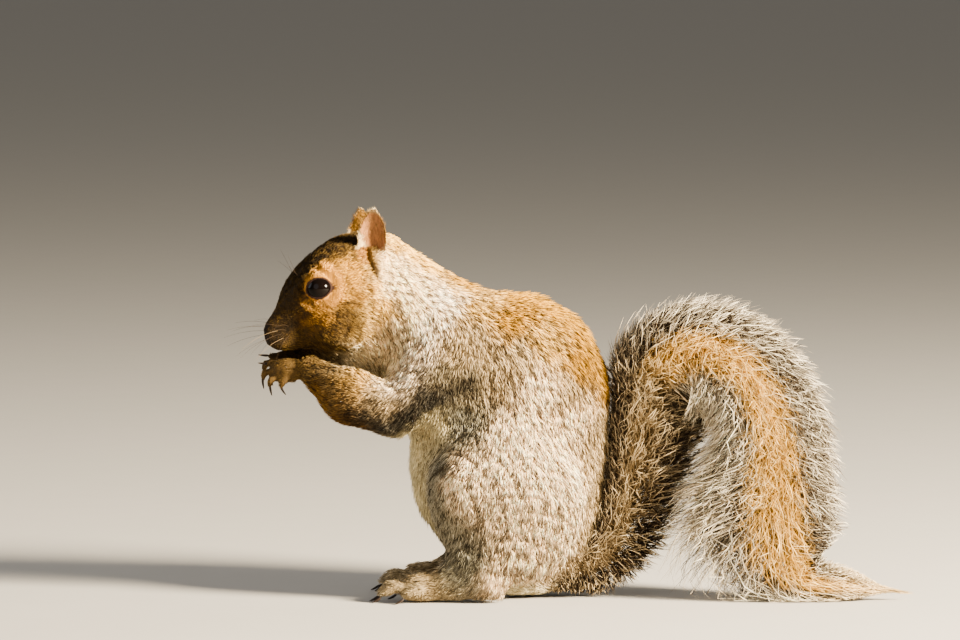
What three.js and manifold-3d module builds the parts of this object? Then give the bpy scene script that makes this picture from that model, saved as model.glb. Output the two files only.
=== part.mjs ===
// A life-size grey squirrel. It sits up on its haunches and holds its forepaws at its mouth, and its
// tail climbs behind its back, bends over and comes down to the ground with its tip laid out flat.
// Millimetres, +Z up. The squirrel faces -X, its left side is towards -Y, and it sits on z = 0.
// The solids give the outline of the coat, so a piece of flesh holds its own fur.

import * as THREE from "three";
import { mergeVertices } from "three/addons/utils/BufferGeometryUtils.js";
import Module from "manifold-3d";

const wasm = await Module();
wasm.setup();

// ---------------------------------------------------------------- driving dimensions

const GAP = 0.4; // left between neighbouring pieces
const SIDES = { left: -1, right: 1 }; // the sign of y on each side

const HEAD_TURN = 9; // degrees the face is turned towards the left
const NECK_PIVOT = point(-46, 0, 140);
const MOUTH_Y = -5; // the paws meet below the mouth, on this plane
const PAW_LIFT = { left: 0.8, right: 4 }; // the right paw is held against the lips

const EYE_RADIUS = 6;
const EYE_CENTRE = point(-81.4, -12.4, 137.4);

const EAR_HEIGHT = 30;
const EAR_WIDTH = 13.6;
const EAR_THICKNESS = 2;
const EAR_CUP = 3.4; // how far the rim curls out from the middle
const EAR_LEAN = 3; // how far the tip leans out
const EAR_FORWARD = 24; // degrees the cup is turned to the front
const EAR_NARROWING = [0.74, 1, 1.06, 1.02, 0.8];
const EAR_BASE = point(-57, -12.5, 142.6);
const FAR_EAR_SHIFT = point(-0.8, 0, -1.5); // the right ear is laid a little forward

const FINGER = { rootRadius: 2, tipRadius: 1.4, clawLength: 4.4, clawRadius: 0.9 };
const TOE = { rootRadius: 3.3, tipRadius: 2.3, clawLength: 5, clawRadius: 1.1 };

// The left hand and foot, digit by digit from the inside out: root, knuckle, tip, and the way the
// claw points. The hand's y is measured from the mouth's plane.
const FINGERS = [
  [[-95, -3.6, 101.5], [-100, -3.2, 103], [-103.6, -2.6, 102.8], [-1, 0, 0.15]],
  [[-97, -5.2, 99.5], [-103.2, -5, 99], [-104, -4.4, 94.4], [0.25, 0, -1]],
  [[-95.5, -7.6, 97.5], [-100.6, -8, 96], [-100.6, -7.4, 91.6], [0.3, 0, -1]],
  [[-91.6, -9.6, 97], [-95.4, -10.6, 95.2], [-95.2, -10, 91.8], [0.7, 0, -0.8]],
];
const TOES = [
  [[-34, -17.5, 5.5], [-41, -16, 6], [-46, -15.2, 2.1], [-1, 0, -0.35]],
  [[-37, -20, 6], [-46, -19, 7], [-52.2, -18.4, 2.1], [-1, 0, -0.35]],
  [[-38, -23.5, 6], [-48, -23, 7.2], [-54, -22.8, 2.1], [-1, 0, -0.35]],
  [[-37, -27, 6], [-46.5, -27.5, 7], [-52.6, -28, 2.1], [-1, 0, -0.35]],
  [[-31, -30, 5.5], [-38, -32.5, 6], [-42.5, -34, 2.1], [-1, -0.2, -0.35]],
];

// Size of a facet on each kind of piece.
const FACET = { head: 5.5, body: 11.6, arm: 7.1, leg: 9.4, paw: 5.9 };

const COLOURS = {
  grizzled: 0x8d8378,
  ochre: 0xa98352,
  rust: 0xa67648,
  ear: 0xd9b08c,
  eye: 0x120d0b,
  claw: 0x2a211b,
};

// ---------------------------------------------------------------- small helpers

function point(x, y, z) {
  return new THREE.Vector3(x, y, z);
}

function onSide(p, side) {
  return point(p.x, side === SIDES.left ? p.y : -p.y, p.z);
}

function lerp(a, b, t) {
  return a + (b - a) * t;
}

// The value at t of numbers spread evenly from t = 0 to t = 1, joined smoothly.
function profile(values, t) {
  const at = THREE.MathUtils.clamp(t, 0, 1) * (values.length - 1);
  const i = Math.min(Math.floor(at), values.length - 2);
  return lerp(values[i], values[i + 1], THREE.MathUtils.smoothstep(at - i, 0, 1));
}

function degrees(angle) {
  return THREE.MathUtils.degToRad(angle);
}

// ---------------------------------------------------------------- fields
// A field takes a point and gives its distance in millimetres from a surface, negative inside.

function ellipsoid(centre, radii, pitch = 0) {
  const turn = new THREE.Quaternion().setFromAxisAngle(point(0, 1, 0), degrees(-pitch));
  return (p) => {
    const q = p.clone().sub(centre).applyQuaternion(turn).divide(radii);
    const out = q.length();
    const steepness = q.divide(radii).length();
    return steepness > 0 ? (out * (out - 1)) / steepness : -Math.min(...radii.toArray());
  };
}

// A tapered rod with round ends.
function limb(from, to, fromRadius, toRadius) {
  const line = new THREE.Line3(from, to);
  const nearest = new THREE.Vector3();
  return (p) => {
    const t = line.closestPointToPointParameter(p, true);
    return p.distanceTo(line.at(t, nearest)) - lerp(fromRadius, toRadius, t);
  };
}

// Both sides of the body: the field is made for the left side and mirrored.
function paired(field) {
  return (p) => Math.min(field(p), field(point(p.x, -p.y, p.z)));
}

// The union of fields, with fillets of about the given size between them.
function blend(fillet, ...fields) {
  return (p) =>
    fields
      .map((field) => field(p))
      .reduce((a, b) => {
        const near = Math.max(fillet - Math.abs(a - b), 0) / fillet;
        return Math.min(a, b) - (near * near * fillet) / 4;
      });
}

// A field turned about the upright line through the neck, as the face is.
function faceTurned(field) {
  return (p) => field(turnFace(p.clone(), -HEAD_TURN));
}

function turnFace(p, angle = HEAD_TURN) {
  return p.sub(NECK_PIVOT).applyAxisAngle(point(0, 0, 1), degrees(angle)).add(NECK_PIVOT);
}

// ---------------------------------------------------------------- from fields to solids

// The corners of a cell are numbered by bits: 1 for x, 2 for y and 4 for z. An edge between two
// corners is known by the corner they share and by the bit that parts them.
const AXIS_BITS = [1, 2, 4];
const CELL_FACES = AXIS_BITS.flatMap((bit, axis) => {
  const [u, v] = [AXIS_BITS[(axis + 1) % 3], AXIS_BITS[(axis + 2) % 3]];
  return [0, bit].map((base) => [base, base | u, base | u | v, base | v]);
});

function edgeBetween(a, b) {
  return (a & b) * 8 + (a ^ b);
}

// Groups the edges of a cell that the surface crosses, one group to each sheet of the surface.
function sheetsThrough(inside) {
  const sheets = [];
  const sheetWith = (edge) => sheets.find((sheet) => sheet.has(edge)) ?? sheets[sheets.push(new Set([edge])) - 1];
  for (const ring of CELL_FACES) {
    for (let n = 0; n < 4; n++) {
      if (!inside[ring[n]] || inside[ring[(n + 3) % 4]]) continue;
      let m = n;
      while (inside[ring[(m + 1) % 4]]) m++;
      const entry = sheetWith(edgeBetween(ring[(n + 3) % 4], ring[n]));
      const exit = sheetWith(edgeBetween(ring[m % 4], ring[(m + 1) % 4]));
      if (entry === exit) continue;
      exit.forEach((edge) => entry.add(edge));
      sheets.splice(sheets.indexOf(exit), 1);
    }
  }
  return sheets;
}

// Surface nets: one corner for each sheet of surface in a cell, and one face across each crossed
// edge of the grid. A shape that runs on past its box is closed at the wall.
function polygonise(field, low, high, cell) {
  const [nx, ny, nz] = high.clone().sub(low).divideScalar(cell).ceil().addScalar(1).toArray();
  const strides = [1, nx, nx * ny];
  const place = (i, j, k) => point(i, j, k).multiplyScalar(cell).add(low);
  const values = new Float64Array(nx * ny * nz);
  for (let k = 0; k < nz; k++)
    for (let j = 0; j < ny; j++)
      for (let i = 0; i < nx; i++) {
        const onWall = i * j * k === 0 || i === nx - 1 || j === ny - 1 || k === nz - 1;
        values[i + j * nx + k * nx * ny] = onWall ? cell : field(place(i, j, k));
      }

  const corners = [];
  const cornerOf = new Map(); // by cell and by edge of the grid
  const offsetOf = (corner) => (corner & 1) + ((corner >> 1) & 1) * nx + (corner >> 2) * nx * ny;
  const gridEdge = (at, axis) => at * 3 + axis;
  for (let k = 0; k < nz - 1; k++)
    for (let j = 0; j < ny - 1; j++)
      for (let i = 0; i < nx - 1; i++) {
        const at = i + j * nx + k * nx * ny;
        const inside = [0, 1, 2, 3, 4, 5, 6, 7].map((corner) => values[at + offsetOf(corner)] < 0);
        for (const sheet of sheetsThrough(inside)) {
          const middle = point(0, 0, 0);
          for (const edge of sheet) {
            const [from, axis] = [edge >> 3, AXIS_BITS.indexOf(edge & 7)];
            const here = at + offsetOf(from);
            const share = values[here] / (values[here] - values[here + strides[axis]]);
            const crossing = place(i + (from & 1), j + ((from >> 1) & 1), k + (from >> 2));
            crossing.setComponent(axis, crossing.getComponent(axis) + share * cell);
            middle.addScaledVector(crossing, 1 / sheet.size);
            cornerOf.set(`${at} ${gridEdge(here, axis)}`, corners.length);
          }
          corners.push(settle(middle, field, cell));
        }
      }

  const faces = [];
  for (let at = 0; at < values.length; at++)
    strides.forEach((stride, axis) => {
      if (!cornerOf.has(`${at} ${gridEdge(at, axis)}`)) return;
      const u = strides[(axis + 1) % 3];
      const v = strides[(axis + 2) % 3];
      const ring = [at - u - v, at - v, at, at - u].map((c) => cornerOf.get(`${c} ${gridEdge(at, axis)}`));
      if (values[at] >= 0) ring.reverse();
      faces.push(ring[0], ring[1], ring[2], ring[0], ring[2], ring[3]);
    });
  return new THREE.BufferGeometry().setFromPoints(corners).setIndex(faces);
}

// Moves a point straight to the field's surface, but never further than half a cell.
function settle(p, field, cell) {
  const step = cell * 0.05;
  const moved = p.clone();
  for (let turn = 0; turn < 3; turn++) {
    const value = field(moved);
    const slope = point(
      field(moved.clone().setX(moved.x + step)) - value,
      field(moved.clone().setY(moved.y + step)) - value,
      field(moved.clone().setZ(moved.z + step)) - value,
    ).divideScalar(step);
    moved.addScaledVector(slope, -value / Math.max(slope.lengthSq(), 0.25));
  }
  return moved.sub(p).clampLength(0, cell / 2).add(p);
}

function bareGeometry(geometry) {
  const bare = geometry.clone();
  for (const name of Object.keys(bare.attributes)) if (name !== "position") bare.deleteAttribute(name);
  return mergeVertices(bare, 1e-4);
}

function solidOf(geometry) {
  const bare = bareGeometry(geometry);
  return new wasm.Manifold(
    new wasm.Mesh({
      numProp: 3,
      vertProperties: new Float32Array(bare.attributes.position.array),
      triVerts: new Uint32Array(bare.index.array),
    }),
  );
}

function geometryOf(solid) {
  const { vertProperties, triVerts } = solid.getMesh();
  const geometry = new THREE.BufferGeometry();
  geometry.setAttribute("position", new THREE.BufferAttribute(vertProperties, 3));
  geometry.setIndex(new THREE.BufferAttribute(triVerts, 1));
  return geometry;
}

// The same solid with its skin moved out by the gap, to be cut from its neighbours.
function grown(solid, gap = GAP) {
  const geometry = geometryOf(solid);
  geometry.computeVertexNormals();
  const { position, normal } = geometry.attributes;
  for (let i = 0; i < position.count; i++) {
    const moved = new THREE.Vector3().fromBufferAttribute(position, i);
    moved.addScaledVector(new THREE.Vector3().fromBufferAttribute(normal, i), gap);
    position.setXYZ(i, ...moved);
  }
  return solidOf(geometry);
}

function cutBack(solid, ...neighbours) {
  return neighbours.reduce((left, neighbour) => left.subtract(grown(neighbour)), solid);
}

function mirrored(geometry) {
  const other = geometry.clone().scale(1, -1, 1);
  const index = other.index.array;
  for (let i = 0; i < index.length; i += 3) [index[i], index[i + 1]] = [index[i + 1], index[i]];
  return other;
}

function forSide(geometry, side) {
  return side === SIDES.left ? geometry : mirrored(geometry);
}

// ---------------------------------------------------------------- swept shapes

// A solid that follows a curve. Its section at t is { wide, deep, shift }: half its width in the
// curve's upright plane, half its depth across it, and how far its middle lies off the curve.
// Round ends close to a point, and flat ends are cut square.
function sweep(curve, sectionAt, { around, along, flatEnds = false }) {
  const base = flatEnds
    ? new THREE.CylinderGeometry(1, 1, 2, around, along)
    : new THREE.SphereGeometry(1, around, along);
  const { position } = base.attributes;
  const vertex = new THREE.Vector3();
  for (let i = 0; i < position.count; i++) {
    vertex.fromBufferAttribute(position, i);
    const t = flatEnds ? (vertex.y + 1) / 2 : Math.acos(THREE.MathUtils.clamp(-vertex.y, -1, 1)) / Math.PI;
    const tangent = curve.getTangent(t);
    const upright = point(-tangent.z, 0, tangent.x).normalize();
    const across = new THREE.Vector3().crossVectors(upright, tangent).normalize();
    const reach = Math.hypot(vertex.x, vertex.z);
    const fullness = flatEnds ? reach : Math.pow(reach, 0.55);
    const turn = reach > 1e-6 ? fullness / reach : 0;
    const { wide, deep, shift = 0 } = sectionAt(t);
    curve
      .getPoint(t, vertex.clone())
      .addScaledVector(upright, shift + vertex.x * turn * wide)
      .addScaledVector(across, vertex.z * turn * deep)
      .toArray(position.array, i * 3);
  }
  const bare = bareGeometry(base);
  return orientOut(bare);
}

// Turns every face round if the closed shape is inside out.
function orientOut(geometry) {
  const { position } = geometry.attributes;
  const index = geometry.index.array;
  const [a, b, c] = [point(), point(), point()];
  let volume = 0;
  for (let i = 0; i < index.length; i += 3) {
    a.fromBufferAttribute(position, index[i]);
    b.fromBufferAttribute(position, index[i + 1]);
    c.fromBufferAttribute(position, index[i + 2]);
    volume += a.dot(b.cross(c));
  }
  if (volume < 0)
    for (let i = 0; i < index.length; i += 3) [index[i], index[i + 1]] = [index[i + 1], index[i]];
  return geometry;
}

function taperedSweep(points, fromRadius, toRadius, detail) {
  const curve = new THREE.CatmullRomCurve3(points);
  return sweep(
    curve,
    (t) => {
      const radius = lerp(fromRadius, toRadius, t);
      return { wide: radius, deep: radius };
    },
    detail,
  );
}

// ---------------------------------------------------------------- head, eyes and ears

function headField() {
  const cranium = ellipsoid(point(-67, 0, 140.5), point(25, 18.5, 19.6), -30);
  const brow = ellipsoid(point(-82, 0, 134), point(16, 12.5, 13.8), -45);
  const muzzle = limb(point(-84, 0, 128), point(-97.6, 0, 118.8), 12.6, 7.2);
  const jaw = limb(point(-66, 0, 121), point(-91, 0, 114), 13.5, 4.8);
  const cheek = ellipsoid(point(-71, -11.5, 125), point(15, 9.5, 14), -35);
  const whiskerPad = ellipsoid(point(-95.5, -4.6, 115.8), point(7.2, 4.2, 5.4), -30);
  const orbit = ellipsoid(point(-79, -11, 143), point(9, 4.4, 4.4), -38);
  return faceTurned(blend(6, cranium, brow, muzzle, jaw, paired(cheek), paired(whiskerPad), paired(orbit)));
}

function eye(side) {
  const ball = new THREE.SphereGeometry(EYE_RADIUS, 12, 8);
  return solidOf(ball.translate(...turnFace(onSide(EYE_CENTRE, side))));
}

// The ear is a thin leaf with a blunt tip, standing on a narrow base and curled into a cup that
// opens outwards and a little forwards.
function ear(side) {
  const leaf = new THREE.SphereGeometry(1, 14, 9);
  const { position } = leaf.attributes;
  const shape = new THREE.Vector3();
  for (let i = 0; i < position.count; i++) {
    shape.fromBufferAttribute(position, i);
    const height = (shape.y + 1) / 2;
    const across = shape.x * profile(EAR_NARROWING, height);
    const curl = EAR_CUP * across ** 2 * profile([2.2, 1.4, 1, 0.7, 0.3], height);
    const leanOut = EAR_LEAN * height ** 2;
    const thick = (Math.sign(shape.z) * Math.abs(shape.z) ** 0.8 * EAR_THICKNESS) / 2;
    position.setXYZ(i, (across * EAR_WIDTH) / 2, -curl - leanOut + thick, height * EAR_HEIGHT);
  }
  const placed = orientOut(bareGeometry(leaf)).rotateZ(degrees(-EAR_FORWARD)).translate(...EAR_BASE);
  const turned = forSide(placed, side).translate(...(side === SIDES.left ? point() : FAR_EAR_SHIFT));
  turned.translate(...NECK_PIVOT.clone().negate()).rotateZ(degrees(HEAD_TURN)).translate(...NECK_PIVOT);
  return solidOf(turned);
}

// ---------------------------------------------------------------- the body's flesh

const SHOULDER = point(-19, -16, 106);
const ELBOW = point(-45, -22, 84);
const MID_FOREARM = point(-66, -20, 90.4);
const WRIST = point(-84.5, -13.5, 101.2);
const THIGH = point(2, -24, 46);
const HIP = point(12, -22, 48);
const KNEE = point(-13, -27, 52);
const HEEL = point(-4, -25, 9.5);

function trunkField() {
  const loin = ellipsoid(point(10, 0, 90), point(38.5, 31, 43.5));
  const flank = ellipsoid(point(10.5, 0, 64), point(36.5, 30, 40));
  const rump = ellipsoid(point(9, 0, 38), point(34.5, 32, 40));
  const chest = ellipsoid(point(-21, 0, 100), point(26, 25, 34));
  const belly = ellipsoid(point(-9, 0, 61), point(31.5, 26, 44));
  const withers = limb(point(-20, 0, 112), point(4, 0, 104), 25, 29);
  const neck = limb(point(-52, 0, 138), point(-24, 0, 112), 21.5, 27.5);
  const throat = limb(point(-72, 0, 109), point(-44, 0, 108), 7, 14);
  return blend(8, loin, flank, rump, chest, belly, withers, neck, throat);
}

function bodyField() {
  const upperArm = limb(SHOULDER, ELBOW, 17, 13.2);
  const thigh = blend(8, ellipsoid(THIGH, point(34.5, 17, 40)), limb(HIP, KNEE, 20, 17));
  return blend(6, blend(3, trunkField(), paired(upperArm), paired(thigh)), headField());
}

function pawLift(side) {
  return side === SIDES.left ? PAW_LIFT.left : PAW_LIFT.right;
}

// The wrists are mirrored on the plane of the mouth, and the elbows on the body's own plane.
function wristOn(side) {
  return point(WRIST.x, MOUTH_Y + side * (MOUTH_Y - WRIST.y), WRIST.z + pawLift(side));
}

function forearmField(side) {
  const elbow = onSide(ELBOW, side);
  const middle = onSide(MID_FOREARM, side);
  middle.y += MOUTH_Y / 3;
  return blend(4, limb(elbow, middle, 12.8, 12.4), limb(middle, wristOn(side), 12.4, 6.8));
}

function ankleField(side) {
  const shank = limb(onSide(point(-14, -26, 26), side), onSide(HEEL, side), 11, 9);
  const instep = limb(onSide(HEEL, side), onSide(point(-28, -25, 9), side), 9, 7.8);
  return blend(5, shank, instep);
}

// ---------------------------------------------------------------- cutters
// The flesh is made in one and parted by plain shapes, so that its outline runs on across a joint.

function thighCutter(side) {
  const round = new THREE.SphereGeometry(1, 14, 8).scale(36, 26, 42);
  return solidOf(round.translate(...onSide(point(2, -35, 46), side)));
}

function upperArmCutter(side) {
  const from = onSide(point(-19, -25, 106), side);
  const to = onSide(point(-47, -25.5, 82.5), side);
  const capsule = new THREE.CapsuleGeometry(18, from.distanceTo(to), 2, 10);
  const turn = new THREE.Quaternion().setFromUnitVectors(point(0, 1, 0), to.clone().sub(from).normalize());
  return solidOf(capsule.applyQuaternion(turn).translate(...from.lerp(to, 0.5)));
}

// Everything on the far side of a plane that leans in the animal's own upright plane.
function beyond(through, towards) {
  const block = new THREE.BoxGeometry(200, 200, 200).translate(0, 0, 100);
  const turn = new THREE.Quaternion().setFromUnitVectors(point(0, 0, 1), towards.clone().normalize());
  return solidOf(block.applyQuaternion(turn).translate(...through));
}

// ---------------------------------------------------------------- hands and feet

// A hand or foot is a pad of flesh with its digits, and each digit carries a claw.
function extremity(pad, digits, sizes, place) {
  const claws = [];
  let flesh = pad;
  for (const [root, knuckle, tip, clawWay] of digits) {
    const route = [root, knuckle, tip].map(place);
    flesh = flesh.add(solidOf(taperedSweep(route, sizes.rootRadius, sizes.tipRadius, { around: 6, along: 4 })));
    const heading = route[2].clone().sub(route[1]).normalize();
    const way = place(clawWay).sub(place([0, 0, 0])).normalize();
    const start = route[2].clone().addScaledVector(heading, -sizes.tipRadius);
    const bend = route[2].clone().addScaledVector(heading, sizes.tipRadius / 2);
    const point = bend.clone().addScaledVector(way, sizes.clawLength * 0.7);
    const detail = { around: 5, along: 4 };
    const radii = [sizes.clawRadius * 1.3, sizes.clawRadius * 0.5];
    claws.push(solidOf(taperedSweep([start, bend, point], ...radii, detail)));
  }
  return { solid: cutBack(flesh, ...claws), claws };
}

function hand(side) {
  const place = ([x, y, z]) => point(x, MOUTH_Y - side * y, z + pawLift(side));
  const palm = blend(
    3,
    ellipsoid(place([-91, -7.2, 100.4]), point(6.8, 4.4, 6.2), -25),
    ellipsoid(place([-96, -5.6, 99.8]), point(5.4, 4.4, 5.5)),
  );
  const pad = netted(palm, place([-93, -6.5, 99]), point(16, 14, 14), FACET.paw);
  return extremity(pad, FINGERS, FINGER, place);
}

function foot(side) {
  const place = ([x, y, z]) => onSide(point(x, y, z), side);
  const sole = blend(
    3,
    limb(place([-16, -24.5, 8]), place([-37, -24, 6.4]), 7.6, 6),
    ellipsoid(place([-37, -24, 5.6]), point(7, 8.2, 5.6)),
  );
  const pad = netted(sole, place([-28, -24.5, 6]), point(27, 20, 20), FACET.paw);
  return extremity(pad, TOES, TOE, place);
}

// ---------------------------------------------------------------- tail

// Stations along the tail's bone, from the rump up, over and down: x, y, z, then how far the fur
// reaches on the outside of the bend, on its inside, and across it.
const TAIL_STATIONS = [
  [30, 0, 13, 14, 13, 15],
  [46, 0, 18, 13, 16, 15],
  [58, 1, 35, 16, 19, 15],
  [65, 1, 59, 17, 20, 15.5],
  [71, 0, 83, 21, 19, 16.5],
  [84, -3, 102, 33, 25, 18],
  [103, -8, 107, 25, 30, 19],
  [119, -13, 94, 22, 29, 19],
  [126, -16, 70, 20, 33, 19],
  [129, -17, 46, 19, 48, 18],
  [131, -17, 22, 20, 52, 18],
  [132, -17, -6, 22, 50, 18],
];
const TAIL_TIP = [point(136, -17, 8), point(152, -17, 6.5), point(168, -17, 5), point(182, -17, 3.2)];

function tailLength(fromStation, toStation) {
  const stations = TAIL_STATIONS;
  const whole = new THREE.CatmullRomCurve3(stations.map(([x, y, z]) => point(x, y, z)));
  const span = stations.length - 1;
  const trim = GAP / 2 / 24; // the stations are about 24 apart
  const from = fromStation === 0 ? 0 : (fromStation + trim) / span;
  const to = toStation === span ? 1 : (toStation - trim) / span;
  const part = new THREE.Curve();
  part.getPoint = (t, target = new THREE.Vector3()) => whole.getPoint(lerp(from, to, t), target);
  part.getTangent = (t) => whole.getTangent(lerp(from, to, t));
  const sectionAt = (t) => {
    const [outside, inside, across] = [3, 4, 5].map((column) =>
      profile(stations.map((station) => station[column]), lerp(from, to, t)),
    );
    return { wide: (outside + inside) / 2, deep: across, shift: (outside - inside) / 2 };
  };
  const along = Math.round((toStation - fromStation) * 2);
  return solidOf(sweep(part, sectionAt, { around: 16, along, flatEnds: true }));
}

function tailTip() {
  const curve = new THREE.CatmullRomCurve3(TAIL_TIP);
  const sectionAt = (t) => ({ wide: profile([12, 10.5, 8, 5.5, 3], t), deep: profile([15, 14, 12, 9, 5], t) });
  return solidOf(sweep(curve, sectionAt, { around: 12, along: 8 }));
}

// ---------------------------------------------------------------- assembly

const ground = solidOf(new THREE.BoxGeometry(600, 300, 60).translate(0, 0, -30));
const solids = new Map();
const colourOf = new Map();

function keep(name, solid, colour) {
  solids.set(name, solid.subtract(ground));
  colourOf.set(name, colour);
}

function netted(field, middle, half, facet) {
  return solidOf(polygonise(field, middle.clone().sub(half), middle.clone().add(half), facet));
}

const body = netted(bodyField(), point(-24, 0, 82), point(92, 56, 100), FACET.body);
const fineHead = netted(bodyField(), point(-75, 0, 138), point(48, 36, 40), FACET.head);
const headCut = beyond(point(-51, 0, 137), point(-1, 0, 0.25));
const neckCut = beyond(point(-33, 0, 120), point(-1, 0, 0.75));
const elbowCut = beyond(point(-48, 0, 80), point(-1, 0, 0.1));
const eyes = [];
const ears = [];
const soles = [];
const cutters = [];

for (const [name, side] of Object.entries(SIDES)) {
  const ball = eye(side);
  const leaf = ear(side);
  keep(`eye_${name}`, ball, COLOURS.eye);

  const { solid: paw, claws: fingerClaws } = hand(side);
  const palm = cutBack(paw, fineHead);
  keep(`hand_${name}`, palm, COLOURS.ochre);
  fingerClaws.forEach((claw, n) => keep(`finger_claw_${name}_${n + 1}`, claw, COLOURS.claw));

  const armCutter = upperArmCutter(side);
  const armMiddle = point(-62, side * 22, 92);
  const forearm = netted(forearmField(side), armMiddle, point(42, 32, 34), FACET.arm);
  keep(`upper_arm_${name}`, body.intersect(armCutter), COLOURS.grizzled);
  keep(`forearm_${name}`, cutBack(forearm.intersect(elbowCut), palm, body, fineHead), COLOURS.ochre);

  const { solid: sole, claws: toeClaws } = foot(side);
  keep(`foot_${name}`, sole, COLOURS.ochre);
  toeClaws.forEach((claw, n) => keep(`toe_claw_${name}_${n + 1}`, claw, COLOURS.claw));

  const legCutter = thighCutter(side);
  const ankle = netted(ankleField(side), point(-8, side * 25, 22), point(42, 24, 34), FACET.leg);
  keep(`thigh_${name}`, cutBack(body.intersect(legCutter), sole), COLOURS.grizzled);
  keep(`lower_leg_${name}`, cutBack(ankle, body, sole), COLOURS.grizzled);

  eyes.push(ball);
  ears.push(leaf);
  soles.push(sole);
  cutters.push(armCutter, legCutter);
  keep(`ear_${name}`, leaf.subtract(grown(fineHead)), COLOURS.ear);
}

keep("head", cutBack(fineHead.intersect(headCut), ...eyes), COLOURS.ochre);
const rest = cutBack(body, headCut, ...cutters);
keep("neck", cutBack(rest.intersect(neckCut), ...ears), COLOURS.grizzled);
keep("trunk", cutBack(rest, neckCut, ...soles), COLOURS.grizzled);

const tailLengths = { tail_base: [0, 3], tail_rise: [3, 5], tail_bend: [5, 8], tail_fall: [8, 11] };
const tail = Object.fromEntries(
  Object.entries(tailLengths).map(([name, [from, to]]) => [name, tailLength(from, to)]),
);
const tip = tailTip();
keep("tail_fall", tail.tail_fall, COLOURS.rust);
keep("tail_bend", tail.tail_bend, COLOURS.rust);
keep("tail_rise", cutBack(tail.tail_rise, tail.tail_fall, tail.tail_bend), COLOURS.grizzled);
keep("tail_base", cutBack(tail.tail_base, tail.tail_fall, body), COLOURS.grizzled);
keep("tail_tip", cutBack(tip, tail.tail_fall), COLOURS.grizzled);

const squirrel = new THREE.Group();
for (const [name, solid] of solids) {
  const geometry = geometryOf(solid);
  geometry.computeBoundingBox();
  const middle = geometry.boundingBox.getCenter(new THREE.Vector3());
  geometry.translate(...middle.clone().negate());
  geometry.computeVertexNormals();
  const shiny = name.startsWith("eye") || name.includes("claw");
  const material = new THREE.MeshStandardMaterial({
    color: colourOf.get(name),
    roughness: shiny ? 0.2 : 0.9,
    metalness: 0,
  });
  const mesh = new THREE.Mesh(geometry, material);
  mesh.name = name;
  mesh.position.copy(middle);
  squirrel.add(mesh);
}

// The origin is on the ground, below the middle of the whole animal.
const whole = new THREE.Box3().setFromObject(squirrel);
const centre = whole.getCenter(new THREE.Vector3());
for (const mesh of squirrel.children) mesh.position.sub(point(centre.x, centre.y, whole.min.z));

export default squirrel;
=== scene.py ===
# %% [markdown]
# # A grey squirrel, sitting up with its tail over its back
#
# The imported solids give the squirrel's outline out to the tips of its coat, cut into head, neck,
# trunk, limbs and lengths of tail. A real squirrel has one skin over all of them, and the coat
# grows out of that skin. So this lesson joins the solids into one skin, draws it in by the depth
# of the coat, works the face, and then grows the coat as thousands of small solid locks that lie
# the way the hair lies.

import math
import time

import bpy
import numpy as np
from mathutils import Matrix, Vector
from mathutils.bvhtree import BVHTree


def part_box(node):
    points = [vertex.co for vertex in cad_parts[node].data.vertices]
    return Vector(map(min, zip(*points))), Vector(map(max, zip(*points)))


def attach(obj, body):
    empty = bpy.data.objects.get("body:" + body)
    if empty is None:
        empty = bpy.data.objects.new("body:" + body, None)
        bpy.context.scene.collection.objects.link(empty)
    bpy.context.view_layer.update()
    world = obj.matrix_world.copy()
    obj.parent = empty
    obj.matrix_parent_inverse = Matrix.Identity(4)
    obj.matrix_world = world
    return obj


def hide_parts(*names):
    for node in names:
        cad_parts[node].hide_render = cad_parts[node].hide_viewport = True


STARTED = time.time()


def clock():
    return f"after {time.time() - STARTED:.1f} s"


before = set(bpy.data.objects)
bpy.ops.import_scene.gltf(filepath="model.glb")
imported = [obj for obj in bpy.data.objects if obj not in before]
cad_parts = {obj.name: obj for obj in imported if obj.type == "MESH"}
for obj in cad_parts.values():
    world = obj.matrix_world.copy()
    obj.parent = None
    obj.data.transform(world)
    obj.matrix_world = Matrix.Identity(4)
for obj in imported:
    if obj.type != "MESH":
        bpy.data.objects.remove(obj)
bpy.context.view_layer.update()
MM = 0.001
SIDES = {"left": -1.0, "right": 1.0}
print("solids:", len(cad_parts))


# %% [markdown]
# ## Measuring from the animal
#
# The animal's sizes are in millimetres, in a frame of its own: x runs from nose to tail, y to
# its right and z up, from a point on the ground below the pelvis. The left eye ties that frame to
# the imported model. The face is turned a little to the left, so anything that belongs to the face is
# looked up in a straightened copy of the head.

# %% The animal's own frame
HEAD_TURN = math.radians(9)
NECK_PIVOT = np.array([-46.0, 0.0, 140.0])
EYE_STRAIGHT = np.array([-81.4, -12.4, 137.4])
FACE_X = (-40, -56)  # where the face begins, behind the ears, and where all is face
FACE_Z = (105.5, 108.5)  # between the hands and the chin


def turned(points, angle):
    """Points turned about an upright line through the neck, each by its own angle."""
    offset = points - NECK_PIVOT
    c, s = np.cos(angle), np.sin(angle)
    x = offset[..., 0] * c - offset[..., 1] * s
    y = offset[..., 0] * s + offset[..., 1] * c
    return np.stack([x, y, offset[..., 2]], -1) + NECK_PIVOT


left_eye = np.array(sum(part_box("eye_left"), Vector()) / 2) / MM
SHIFT = turned(EYE_STRAIGHT, HEAD_TURN) - left_eye


def to_animal(metres):
    return np.asarray(metres) / MM + SHIFT


def to_model(millimetres):
    return (np.asarray(millimetres) - SHIFT) * MM


def smooth(low, high, value):
    t = np.clip((value - low) / (high - low), 0, 1)
    return t * t * (3 - 2 * t)


def unit(vectors):
    return vectors / np.maximum(np.linalg.norm(vectors, axis=-1, keepdims=True), 1e-9)


def face_share(points):
    """1 on the face and 0 on the body and hands, which don't turn with it."""
    return smooth(*FACE_X, points[:, 0]) * smooth(*FACE_Z, points[:, 2])


def straightened(points):
    return turned(points, -HEAD_TURN * face_share(points))


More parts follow.
